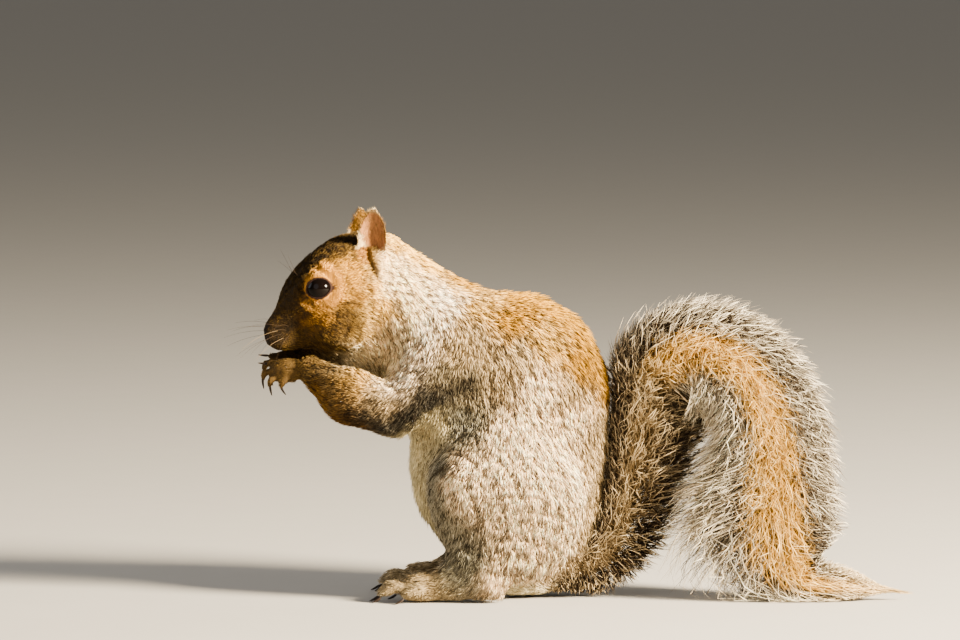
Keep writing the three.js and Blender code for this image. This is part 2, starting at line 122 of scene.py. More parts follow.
print("shift from model to animal, mm:", np.round(SHIFT, 2))


# %% [markdown]
# ## The skin
#
# Skin is one closed surface. The solids stop a fraction of a millimetre short of each other, so
# each is swollen by a little more than half that gap, they are joined, and a voxel remesh makes one
# surface of them. The tail's solid lengths stand for loose hair, so only the tail's bone and its
# thin flesh go into the skin, as a tapering tube. Remeshing was chosen over joining the pieces by
# hand, because it closes every seam at once and gives even faces to sculpt.

# %% Meshes from arrays
def make_object(name, mesh):
    obj = bpy.data.objects.new(name, mesh)
    bpy.context.scene.collection.objects.link(obj)
    return obj


def make_mesh(name, points, faces):
    """A smooth-shaded mesh from points in metres and faces that all have as many corners."""
    mesh = bpy.data.meshes.new(name)
    corners = faces.shape[1]
    mesh.vertices.add(len(points))
    mesh.vertices.foreach_set("co", np.ascontiguousarray(points, dtype=np.float32).ravel())
    mesh.loops.add(faces.size)
    mesh.loops.foreach_set("vertex_index", np.ascontiguousarray(faces, dtype=np.int32).ravel())
    mesh.polygons.add(len(faces))
    mesh.polygons.foreach_set("loop_start", np.arange(0, faces.size, corners, dtype=np.int32))
    mesh.polygons.foreach_set("use_smooth", np.ones(len(faces), dtype=bool))
    mesh.update(calc_edges=True)
    return mesh


def paint_points(mesh, tints):
    """Paints each point's linear colour into the attribute that the fur and hide read."""
    rgba = np.ones((len(mesh.vertices), 4), dtype=np.float32)
    rgba[:, :3] = tints
    paint = mesh.color_attributes.new("coat", "FLOAT_COLOR", "POINT")
    paint.data.foreach_set("color", rgba.ravel())


def points_of(mesh):
    flat = np.empty(len(mesh.vertices) * 3, dtype=np.float32)
    mesh.vertices.foreach_get("co", flat)
    return flat.reshape(-1, 3).astype(np.float64)


def triangles_of(mesh):
    mesh.calc_loop_triangles()
    flat = np.empty(len(mesh.loop_triangles) * 3, dtype=np.int32)
    mesh.loop_triangles.foreach_get("vertices", flat)
    return flat.reshape(-1, 3)


solid_points = len(points_of(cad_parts["trunk"].data))
print("points in the trunk's solid:", solid_points)


# %% Normals, swelling and joining
def face_normals(points, triangles):
    a, b, c = (points[triangles[:, n]] for n in range(3))
    return np.cross(b - a, c - a)


def point_normals(points, triangles):
    facing = face_normals(points, triangles)
    total = np.zeros_like(points)
    for axis in range(3):
        for corner in range(3):
            total[:, axis] += np.bincount(triangles[:, corner], facing[:, axis], len(points))
    return unit(total)


def swollen(name, by):
    """A node's surface with its points welded, moved out along its normals."""
    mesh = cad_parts[name].data
    points, triangles = points_of(mesh), triangles_of(mesh)
    welded, index = np.unique(np.round(points, 6), axis=0, return_inverse=True)
    triangles = index.ravel()[triangles]
    return welded + by * point_normals(welded, triangles), triangles


def halved(quads):
    """Each four-cornered face as two triangles."""
    return np.vstack([quads[:, [0, 1, 2]], quads[:, [0, 2, 3]]])


def stacked(parts):
    """Several parts, each as points and faces, put together as one."""
    starts = np.cumsum([0] + [len(points) for points, _ in parts])
    faces = [part_faces + start for (_, part_faces), start in zip(parts, starts)]
    return np.vstack([points for points, _ in parts]), np.vstack(faces)


print("the same points, welded:", len(swollen("trunk", 0)[0]))


# %% Surfaces from rings of points
def ring_quads(rings, around, closed=False):
    """Faces from each ring of points to the next, and from the last to the first if closed."""
    row = np.arange(rings if closed else rings - 1)[:, None]
    after = (row + 1) % rings
    here, there = np.arange(around), (np.arange(around) + 1) % around
    corners = [row * around + here, row * around + there, after * around + there, after * around + here]
    return np.stack(corners, -1).reshape(-1, 4)


def outward(points, faces):
    """The faces of a closed surface, turned if need be to look outwards."""
    a, b, c = (points[faces[:, n]] for n in range(3))
    volume = np.einsum("ij,ij->i", a, np.cross(b, c)).sum()
    return faces if volume > 0 else faces[:, ::-1]


def tube(centres, radii, out, across, around=16, ends=None):
    """A closed round tube, as points and triangles, with a point at each end.

    The end points are the middles of the end rings, unless others are given."""
    angles = np.linspace(0, 2 * math.pi, around, endpoint=False)
    ring = out[:, None] * np.cos(angles)[:, None] + across[:, None] * np.sin(angles)[:, None]
    points = (centres[:, None] + ring * radii[:, None, None]).reshape(-1, 3)
    here, there = np.arange(around), (np.arange(around) + 1) % around
    first, last = len(points), len(points) - around
    caps = np.vstack([
        np.stack([np.full(around, first), there, here], -1),
        np.stack([np.full(around, first + 1), last + here, last + there], -1),
    ])
    points = np.vstack([points, centres[[0, -1]] if ends is None else ends])
    faces = np.vstack([halved(ring_quads(len(centres), around)), caps])
    return points, outward(points, faces)


print("faces between two rings of 16 points:", len(ring_quads(2, 16)))


# %% The tail's line
# Stations from inside the rump up, over and down to the last hair: x, y, z, then how far the hair
# reaches on the outside of the bend, on its inside and across, and the radius of bone and flesh.
TAIL = np.array([
    [16, 0, 14, 10, 12, 21, 9],
    [29, 0, 15, 11, 13, 20, 8],
    [44, 0, 19, 13, 18, 17, 6.5],
    [54, 1, 36, 13, 26, 15, 5],
    [58, 1, 60, 12, 32, 15.5, 4.4],
    [62, 0, 84, 14, 33, 16.5, 4.2],
    [69, -1, 101, 22, 30, 17.5, 4.0],
    [84, -4, 110, 21, 35, 18, 3.8],
    [98, -7, 107, 23, 31, 19, 3.6],
    [109, -11, 96, 26, 23, 19, 3.5],
    [117, -14, 78, 27, 26, 19, 3.3],
    [121, -16, 58, 26, 38, 19, 3.1],
    [122.5, -17, 40, 26, 47, 18, 2.9],
    [126, -17, 22, 25, 49, 18, 2.6],
    [134, -17, 10, 14, 17, 16, 2.4],
    [150, -17, 7, 8, 7, 13, 2.0],
    [167, -17, 5, 5, 5, 10, 1.6],
])

TAIL_STEP = 0.004  # a share of its length, over which its heading is taken


def tail_at(share):
    """The tail's stations read at any share of its length, by a Catmull-Rom curve."""
    at = np.clip(share, 0, 1) * (len(TAIL) - 1)
    i = np.minimum(at.astype(int), len(TAIL) - 2)
    t = (at - i)[..., None]
    padded = np.vstack([2 * TAIL[0] - TAIL[1], TAIL, 2 * TAIL[-1] - TAIL[-2]])
    a, b, c, d = (padded[i + n] for n in range(4))
    curve = 2 * b + (c - a) * t + (2 * a - 5 * b + 4 * c - d) * t**2 + (3 * b - a - 3 * c + d) * t**3
    return curve / 2


def tail_frame(share):
    """The tail's stations, its heading, and the ways out of the bend and across it."""
    ahead, behind = tail_at(share + TAIL_STEP), tail_at(share - TAIL_STEP)
    heading = unit((ahead - behind)[..., :3])
    out = unit(np.stack([-heading[..., 2], np.zeros(share.shape), heading[..., 0]], -1))
    return tail_at(share), heading, out, np.cross(out, heading)


steps = np.diff(tail_at(np.linspace(0, 1, 400))[:, :3], axis=0)
print("length of the tail's line, mm:", round(float(np.linalg.norm(steps, axis=1).sum())))

# %% Join the flesh into one surface
GROWTH = 0.45
FINE_GROWTH = 0.1  # for hands and feet, whose digits would run together
EYE_GROWTH = -0.05
VOXEL = 0.7
CORE_END = 0.955  # the core of bone and flesh ends short of the last hair
PAIRED = ("ear", "upper_arm", "forearm", "hand", "thigh", "lower_leg", "foot")
FLESH = ["head", "neck", "trunk"] + [f"{part}_{side}" for part in PAIRED for side in SIDES]
TAIL_NODES = ["tail_base", "tail_rise", "tail_bend", "tail_fall", "tail_tip"]
NAMES = FLESH + TAIL_NODES

shares = np.linspace(0, CORE_END, 160)
stations, heading, out, across = tail_frame(shares)
core_points, core_faces = tube(stations[:, :3], stations[:, 6], out, across)

parts = []
for name in FLESH:
    fine = name.startswith(("hand", "foot"))
    parts.append(swollen(name, (FINE_GROWTH if fine else GROWTH) * MM))
parts += [swollen(f"eye_{side}", EYE_GROWTH * MM) for side in SIDES]
parts.append((to_model(core_points), core_faces))
joined = make_mesh("joined_flesh", *stacked(parts))
print("pieces joined:", len(parts))

# %% Remesh it
source = make_object("joined_flesh", joined)
voxels = source.modifiers.new("voxels", "REMESH")
voxels.mode = "VOXEL"
voxels.voxel_size = VOXEL * MM
grid = bpy.data.meshes.new_from_object(source.evaluated_get(bpy.context.evaluated_depsgraph_get()))
bpy.data.objects.remove(source)
skin = to_animal(points_of(grid))
quads = np.empty(len(grid.loops), dtype=np.int32)
grid.loops.foreach_get("vertex_index", quads)
quads = quads.reshape(-1, 4)
edges = np.empty(len(grid.edges) * 2, dtype=np.int32)
grid.edges.foreach_get("vertices", edges)
edges = edges.reshape(-1, 2)
print("skin:", len(skin), "points,", clock())

# %% Which part each point of skin belongs to
solids = [swollen(name, 0) for name in NAMES]
tree = BVHTree.FromPolygons(*(table.tolist() for table in stacked(solids)))
owners = np.repeat(np.arange(len(NAMES)), [len(triangles) for _, triangles in solids])
part_of = owners[[tree.find_nearest(point)[2] for point in to_model(skin).tolist()]]


def parts_named(*words):
    """The numbers of the parts whose names start with one of the words."""
    return [n for n, name in enumerate(NAMES) if name.startswith(words)]


def in_parts(*words):
    """1 where the skin belongs to such a part, otherwise 0."""
    return np.isin(part_of, parts_named(*words)).astype(float)


print({name: int((part_of == n).sum()) for n, name in enumerate(NAMES)})

# %% [markdown]
# The facets of the solids are wider than a finger of the animal, so the skin is relaxed: every
# point moves towards the middle of its neighbours, many times on the broad body, fewer times on the
# head, and hardly at all on ears, hands and feet, which would melt away. Then it is drawn in along
# its normals by the depth of the coat.

# %% Relaxing, and how much of it each part takes
links = np.bincount(edges.ravel(), minlength=len(skin))[:, None]


def middle_of_neighbours(values):
    total = np.empty_like(values)
    for axis in range(values.shape[1]):
        column = values[:, axis]
        total[:, axis] = np.bincount(edges[:, 0], column[edges[:, 1]], len(values))
        total[:, axis] += np.bincount(edges[:, 1], column[edges[:, 0]], len(values))
    return total / links


def relaxed(values, strength, rounds):
    values = values.copy()
    for _ in range(rounds):
        values += strength * (middle_of_neighbours(values) - values)
    return values


STRENGTH = {"head": 0.16, "neck": 0.6, "ear": 0.02, "upper_arm": 0.7, "forearm": 0.22, "hand": 0.02,
            "thigh": 1.0, "lower_leg": 0.3, "foot": 0.02, "trunk": 1.0, "tail": 0.3}
DEPTH = {"head": 0.7, "neck": 1.4, "ear": 0.35, "upper_arm": 1.4, "forearm": 1.0, "hand": 0.0,
         "thigh": 1.8, "lower_leg": 0.9, "foot": 0.2, "trunk": 1.8, "tail": 0.0}
strength = sum(in_parts(part) * share for part, share in STRENGTH.items())[:, None]
depth = sum(in_parts(part) * share for part, share in DEPTH.items())[:, None]
strength = relaxed(strength, 0.8, 6)
straight = straightened(skin)
on_muzzle = smooth(-88, -96, straight[:, 0]) * face_share(skin)
ear_root = np.exp(-((np.linalg.norm(straight * (1, 0, 1) - (-53.5, 0, 152), axis=1) / 3.5) ** 2))
ear_root *= np.abs(straight[:, 1]) > 12
strength = np.maximum(strength, np.maximum(0.5 * on_muzzle, 0.3 * ear_root)[:, None])
print("greatest depth of the coat, mm:", depth.max())



# %% Relax the skin, then draw it in by the coat's depth
def soft_normals():
    """The skin's normals, evened out so that its fine facets don't show."""
    return unit(relaxed(point_normals(skin, skin_faces), 0.8, 2))


faceted = skin
skin = relaxed(skin, 0.8 * strength, 100)
depth = relaxed(depth, 0.8, 30)[:, 0]
straight = straightened(skin)
nose_share = smooth(-88, -102, straight[:, 0]) * face_share(skin)
growth = GROWTH * (1 - in_parts("tail")) + (FINE_GROWTH - GROWTH) * in_parts("hand", "foot")
depth = depth * (1 - 0.7 * nose_share) + relaxed(growth[:, None], 0.8, 4)[:, 0]
skin_faces = halved(quads)
normals = soft_normals()
# relaxing shrinks a form, so the fullness it lost is given back, spread smoothly
lost = relaxed(((faceted - skin) * normals).sum(1)[:, None], 0.8, 60)
skin = skin + normals * (lost - depth[:, None])
print("relaxed", clock())

# %% [markdown]
# ## The face
#
# Lids, nostrils and the line of the mouth are finer than the solids. Each is a small push or pull
# of the skin, measured from a line or a point on the straightened face, and the same on both sides.
# A sculpting brush does the same thing by hand.

# %% The eye's own axes
EYE_RADIUS = 6.0
LID_OPENING = np.array([5.05, 4.2])
eye_out = unit(np.array([-0.21, -0.96, 0.05]))
eye_back = unit(np.array([1.0, 0, 0.2]) - eye_out * np.dot([1.0, 0, 0.2], eye_out))
eye_up = np.cross(eye_back, eye_out)
eye_up = eye_up * np.sign(eye_up[2])


def on_left(points):
    """The straightened face folded onto its left side."""
    folded = straightened(points)
    folded[:, 1] = -np.abs(folded[:, 1])
    return folded


def unfolded(way, points):
    """Ways on the folded, straightened face, as ways on the face itself at the same points."""
    way = way * np.stack([np.ones(len(way)), -np.sign(straightened(points)[:, 1]), np.ones(len(way))], -1)
    return turned(NECK_PIVOT + way, HEAD_TURN * face_share(points)) - NECK_PIVOT


def around_eye(folded):
    """How many times the lid's opening a point lies from the eye's middle, and its radius."""
    offset = folded - EYE_STRAIGHT
    radius = np.linalg.norm(offset, axis=1)
    way = unit(offset)
    across, up = way @ eye_back * EYE_RADIUS, way @ eye_up * EYE_RADIUS
    spread = np.hypot(across / LID_OPENING[0], up / LID_OPENING[1])
    return np.where(way @ eye_out > 0, spread, 3.0), radius, way


def line_distance(points, line):
    """How far each point lies from a bent line."""
    line = np.asarray(line, dtype=float)
    best = np.full(len(points), 1e9)
    for a, b in zip(line[:-1], line[1:]):
        along = np.clip((points - a) @ (b - a) / np.dot(b - a, b - a), 0, 1)
        best = np.minimum(best, np.linalg.norm(points - a - along[:, None] * (b - a), axis=1))
    return best


def near_line(points, line, half_width):
    """1 on a bent line, falling softly to nothing on both sides."""
    return np.exp(-((line_distance(points, line) / half_width) ** 2))


print("the left eye looks along:", np.round(eye_out, 2))

# %% The fine lines of the face and ears, on the left side
MOUTH_LINE = [(-103, -0.6, 111.6), (-99, -3.4, 110.4), (-93, -6.4, 110.2), (-86, -8.6, 109),
              (-80, -9.8, 108.2)]
NOSTRIL = [(-105.6, -1.3, 115.8), (-104.4, -2.6, 116.8), (-103.0, -3.0, 116.2)]
NOSTRIL_RIM = [(-104.2, -2.0, 118.4), (-102, -4.4, 117.8)]
LIP_PAD = [(-101.5, -3.6, 113), (-97, -5.6, 113.2)]
PHILTRUM = [(-106, 0, 115), (-104.5, 0, 111)]
EAR_NOTCH = [(-60.8, -14.3, 154.5), (-60.2, -16.4, 149), (-58, -17.6, 144)]
EAR_LOBE = [(-55.5, -17.2, 152.5), (-54.6, -18.4, 148), (-54.6, -19.2, 144.5)]
EAR_CREASE = [(-50.5, -19.2, 149), (-49.6, -20.2, 143.5)]
FACE_LINES = [
    # the line, how deep it is pressed in (less than 0 stands out), and its half width
    (MOUTH_LINE, 0.75, 0.75), (NOSTRIL, 1.3, 0.8), (LIP_PAD, -0.7, 2.4), (PHILTRUM, 0.8, 0.7),
    (EAR_NOTCH, 2.2, 1.5), (EAR_CREASE, 1.0, 1.1), (EAR_LOBE, -1.4, 2.3), (NOSTRIL_RIM, -0.35, 0.9),
]
print("fine lines on each side:", len(FACE_LINES))

# %% Sculpt the snout and the lids
SLIMMING = 0.26  # how much narrower the snout gets at the nose
straight = straightened(skin)
on_face = face_share(skin)
slim = 1 - SLIMMING * smooth(-88, -103, straight[:, 0]) * on_face
across_only = np.stack([np.ones(len(skin)), slim, np.ones(len(skin))], -1)
skin = turned(straight * across_only, HEAD_TURN * on_face)
folded = on_left(skin)
on_face = face_share(skin)
spread, radius, way = around_eye(folded)
near_eye = (radius < 12) & (on_face > 0.5)
# how far the skin lies from the eye's middle, in mm: inside the opening it sinks behind the eyeball,
# and at the opening's edge it stands on the ball
lid = np.where(spread < 1.0, 5.2 + 1.0 * smooth(0.88, 1.0, spread), 6.2 + 0.35 * smooth(1.0, 1.2, spread))
keep = np.maximum(smooth(1.12, 1.75, spread), smooth(8.5, 10.5, radius))
target = lid * (1 - keep) + radius * keep
lid_push = (target - radius) * near_eye * (spread < 2.9)
skin += unfolded(way, skin) * lid_push[:, None]
print("points moved round the eyes:", int((np.abs(lid_push) > 0.05).sum()))


# %% Cup the ears, and press in the fine lines
def ear_frame(side):
    """The ear's middle, the way its cup faces, the ways up and across it, and its half sizes."""
    own = skin[on_ear(side)]
    middle = own.mean(0)
    _, _, axes = np.linalg.svd(own - middle, full_matrices=False)
    cup = axes[2] * np.sign(axes[2][1]) * SIDES[side]
    up = axes[0] * np.sign(axes[0][2])
    half = np.percentile(np.abs((own - middle) @ np.stack([up, axes[1]]).T), 99, axis=0)
    return middle, cup, up, axes[1], half


def on_ear(side):
    return part_of == NAMES.index(f"ear_{side}")


CUP_HALF_HEIGHT, CUP_HALF_WIDTH, CUP_DEPTH = 10.5, 5.5, 1.5
for side in SIDES:
    own = on_ear(side)
    middle, cup, up, across, _ = ear_frame(side)
    offset = skin[own] - middle
    far = (offset @ up / CUP_HALF_HEIGHT) ** 2 + (offset @ across / CUP_HALF_WIDTH) ** 2
    skin[own] -= cup * (CUP_DEPTH * np.clip(1 - far, 0, 1))[:, None]
groove = sum(depth * near_line(folded, line, width) for line, depth, width in FACE_LINES)
skin -= normals * (groove * on_face)[:, None]
normals = soft_normals()
print("deepest line of the face, mm:", round(float((groove * on_face).max()), 2))

# %% Lid rims
# A soft rim of bare skin runs round each opening, on the ball of the eye.
RIM_STEPS, RIM_SIDES, RIM_RADIUS, RIM_LIFT = 64, 10, 0.36, 0.15
angle = np.linspace(0, 2 * math.pi, RIM_STEPS, endpoint=False)[:, None]
section = np.linspace(0, 2 * math.pi, RIM_SIDES, endpoint=False)[:, None]
opening = eye_back * np.cos(angle) * LID_OPENING[0] / EYE_RADIUS
opening += eye_up * np.sin(angle) * LID_OPENING[1] / EYE_RADIUS
opening += eye_out * np.sqrt(1 - (opening**2).sum(1, keepdims=True))
centres = EYE_STRAIGHT + opening * (EYE_RADIUS + RIM_LIFT)
sideways = unit(np.cross(np.roll(centres, -1, 0) - np.roll(centres, 1, 0), opening))
ring = opening[:, None] * np.cos(section) + sideways[:, None] * np.sin(section)
left_rim = (centres[:, None] + ring * RIM_RADIUS).reshape(-1, 3)
rims = []
for sign in SIDES.values():
    rim = turned(left_rim * (1, -sign, 1), HEAD_TURN)
    rims.append((rim, outward(rim, ring_quads(RIM_STEPS, RIM_SIDES, closed=True))))
print("lid rims:", len(rims))

# %% [markdown]
# ## The markings and the lie of the coat
#
# Each hair of a grey squirrel is banded: dark at the root, pale or ochre along its length, and often
# black at the tip, which gives the coat its salt-and-pepper grain. The back and the crown are
# washed with ochre, the face and the forearms with orange, the flanks are pale grey and the belly is
# cream. Some kinds also carry painted shade: in the fold behind the arm, on the front of the thigh,
# on the cheek and on the side of the muzzle. A short table says, at named places, which way the hair
# lies, how long it is and which colours it has, and everything between is blended by distance. One
# table serves the skin and the coat, so they always agree.

# %% Colours
def linear(code):
    """An sRGB hex code as linear red, green and blue."""
    parts = np.array([int(code[n : n + 2], 16) for n in (1, 3, 5)]) / 255
    return np.where(parts <= 0.04045, parts / 12.92, ((parts + 0.055) / 1.055) ** 2.4)


# Each kind of fur: at the root, along the hair, at the tip, and how many hairs in ten are ticked.
FUR = {
    "nose": ("#080504", "#100a08", "#1c1410", 0),
    # the darkest fur of the upper lip, darkened further as painted shade on the side of the muzzle
    "shaded_lip": ("#0a0704", "#1c1407", "#30220e", 1.5),
    "muzzle": ("#0d0905", "#32230a", "#543f12", 2.5),
    "crown": ("#0a0704", "#251a0a", "#4e3b18", 3.6),
    # golden-brown fur, darkened as painted shade where the cheek turns from the light
    "golden": ("#0e0805", "#2e1f07", "#4c360d", 2.8),
    "face": ("#2e1a06", "#68450a", "#8a6014", 2.2),
    "brow": ("#503408", "#9a6a16", "#c08e28", 2.4),
    "eye_ring": ("#6e440c", "#ac7420", "#cf9a44", 0.8),
    "throat": ("#71613e", "#d8be88", "#f7eac6", 1.4),
    "nape": ("#4c340e", "#c8963e", "#e8b95e", 3.2),
    "pale_neck": ("#625034", "#f4cf98", "#f7e4bc", 4.0),
    "shoulder": ("#4f4433", "#efd0a8", "#f7e9d2", 4.4),
    # painted shade in the fold behind the arm and the elbow, over dark grey fur
    "shade": ("#0c0a07", "#2c2820", "#474136", 3),
    "grey": ("#1f1a12", "#74664a", "#a39274", 4),
    "back": ("#291804", "#8a6008", "#b08018", 4.4),
    "sand": ("#3c2f1c", "#a48a60", "#cbb28a", 4.8),
    "side": ("#33240c", "#a67f38", "#cfa75c", 4.4),
    "flank": ("#55422a", "#f5cf9e", "#f7e6c6", 5.2),
    # grey fur painted darker as shade on the front of the thigh and below the arm
    "dark_flank": ("#1d1c18", "#5e5845", "#918b7a", 3.6),
    "belly": ("#726239", "#b8a677", "#c7bd9b", 0),
    "orange": ("#120805", "#432a08", "#664710", 2.2),
    "hand": ("#1a110a", "#503b18", "#7a5e2c", 2),
    "foot": ("#2c2418", "#88724c", "#c8b086", 3),
    "toe": ("#322817", "#8e7a56", "#b2a07a", 1.4),
    "ear": ("#4c300f", "#86602c", "#b08c56", 0.8),
    "ear_rim": ("#a57a3e", "#e6c68c", "#f6dfb4", 0),
    "rust": ("#341a05", "#844c12", "#ac7024", 1),
    "rump": ("#2e2618", "#8a7450", "#c4a878", 3.5),
}
TICK = linear("#1c140c")
KINDS = list(FUR)
COLOUR_OF = np.array([[linear(code) for code in FUR[kind][:3]] for kind in KINDS])
TICKED = np.array([FUR[kind][3] / 10 for kind in KINDS])
print("kinds of fur:", len(KINDS))


def mixed(a, b, share):
    return a * (1 - share) + b * share


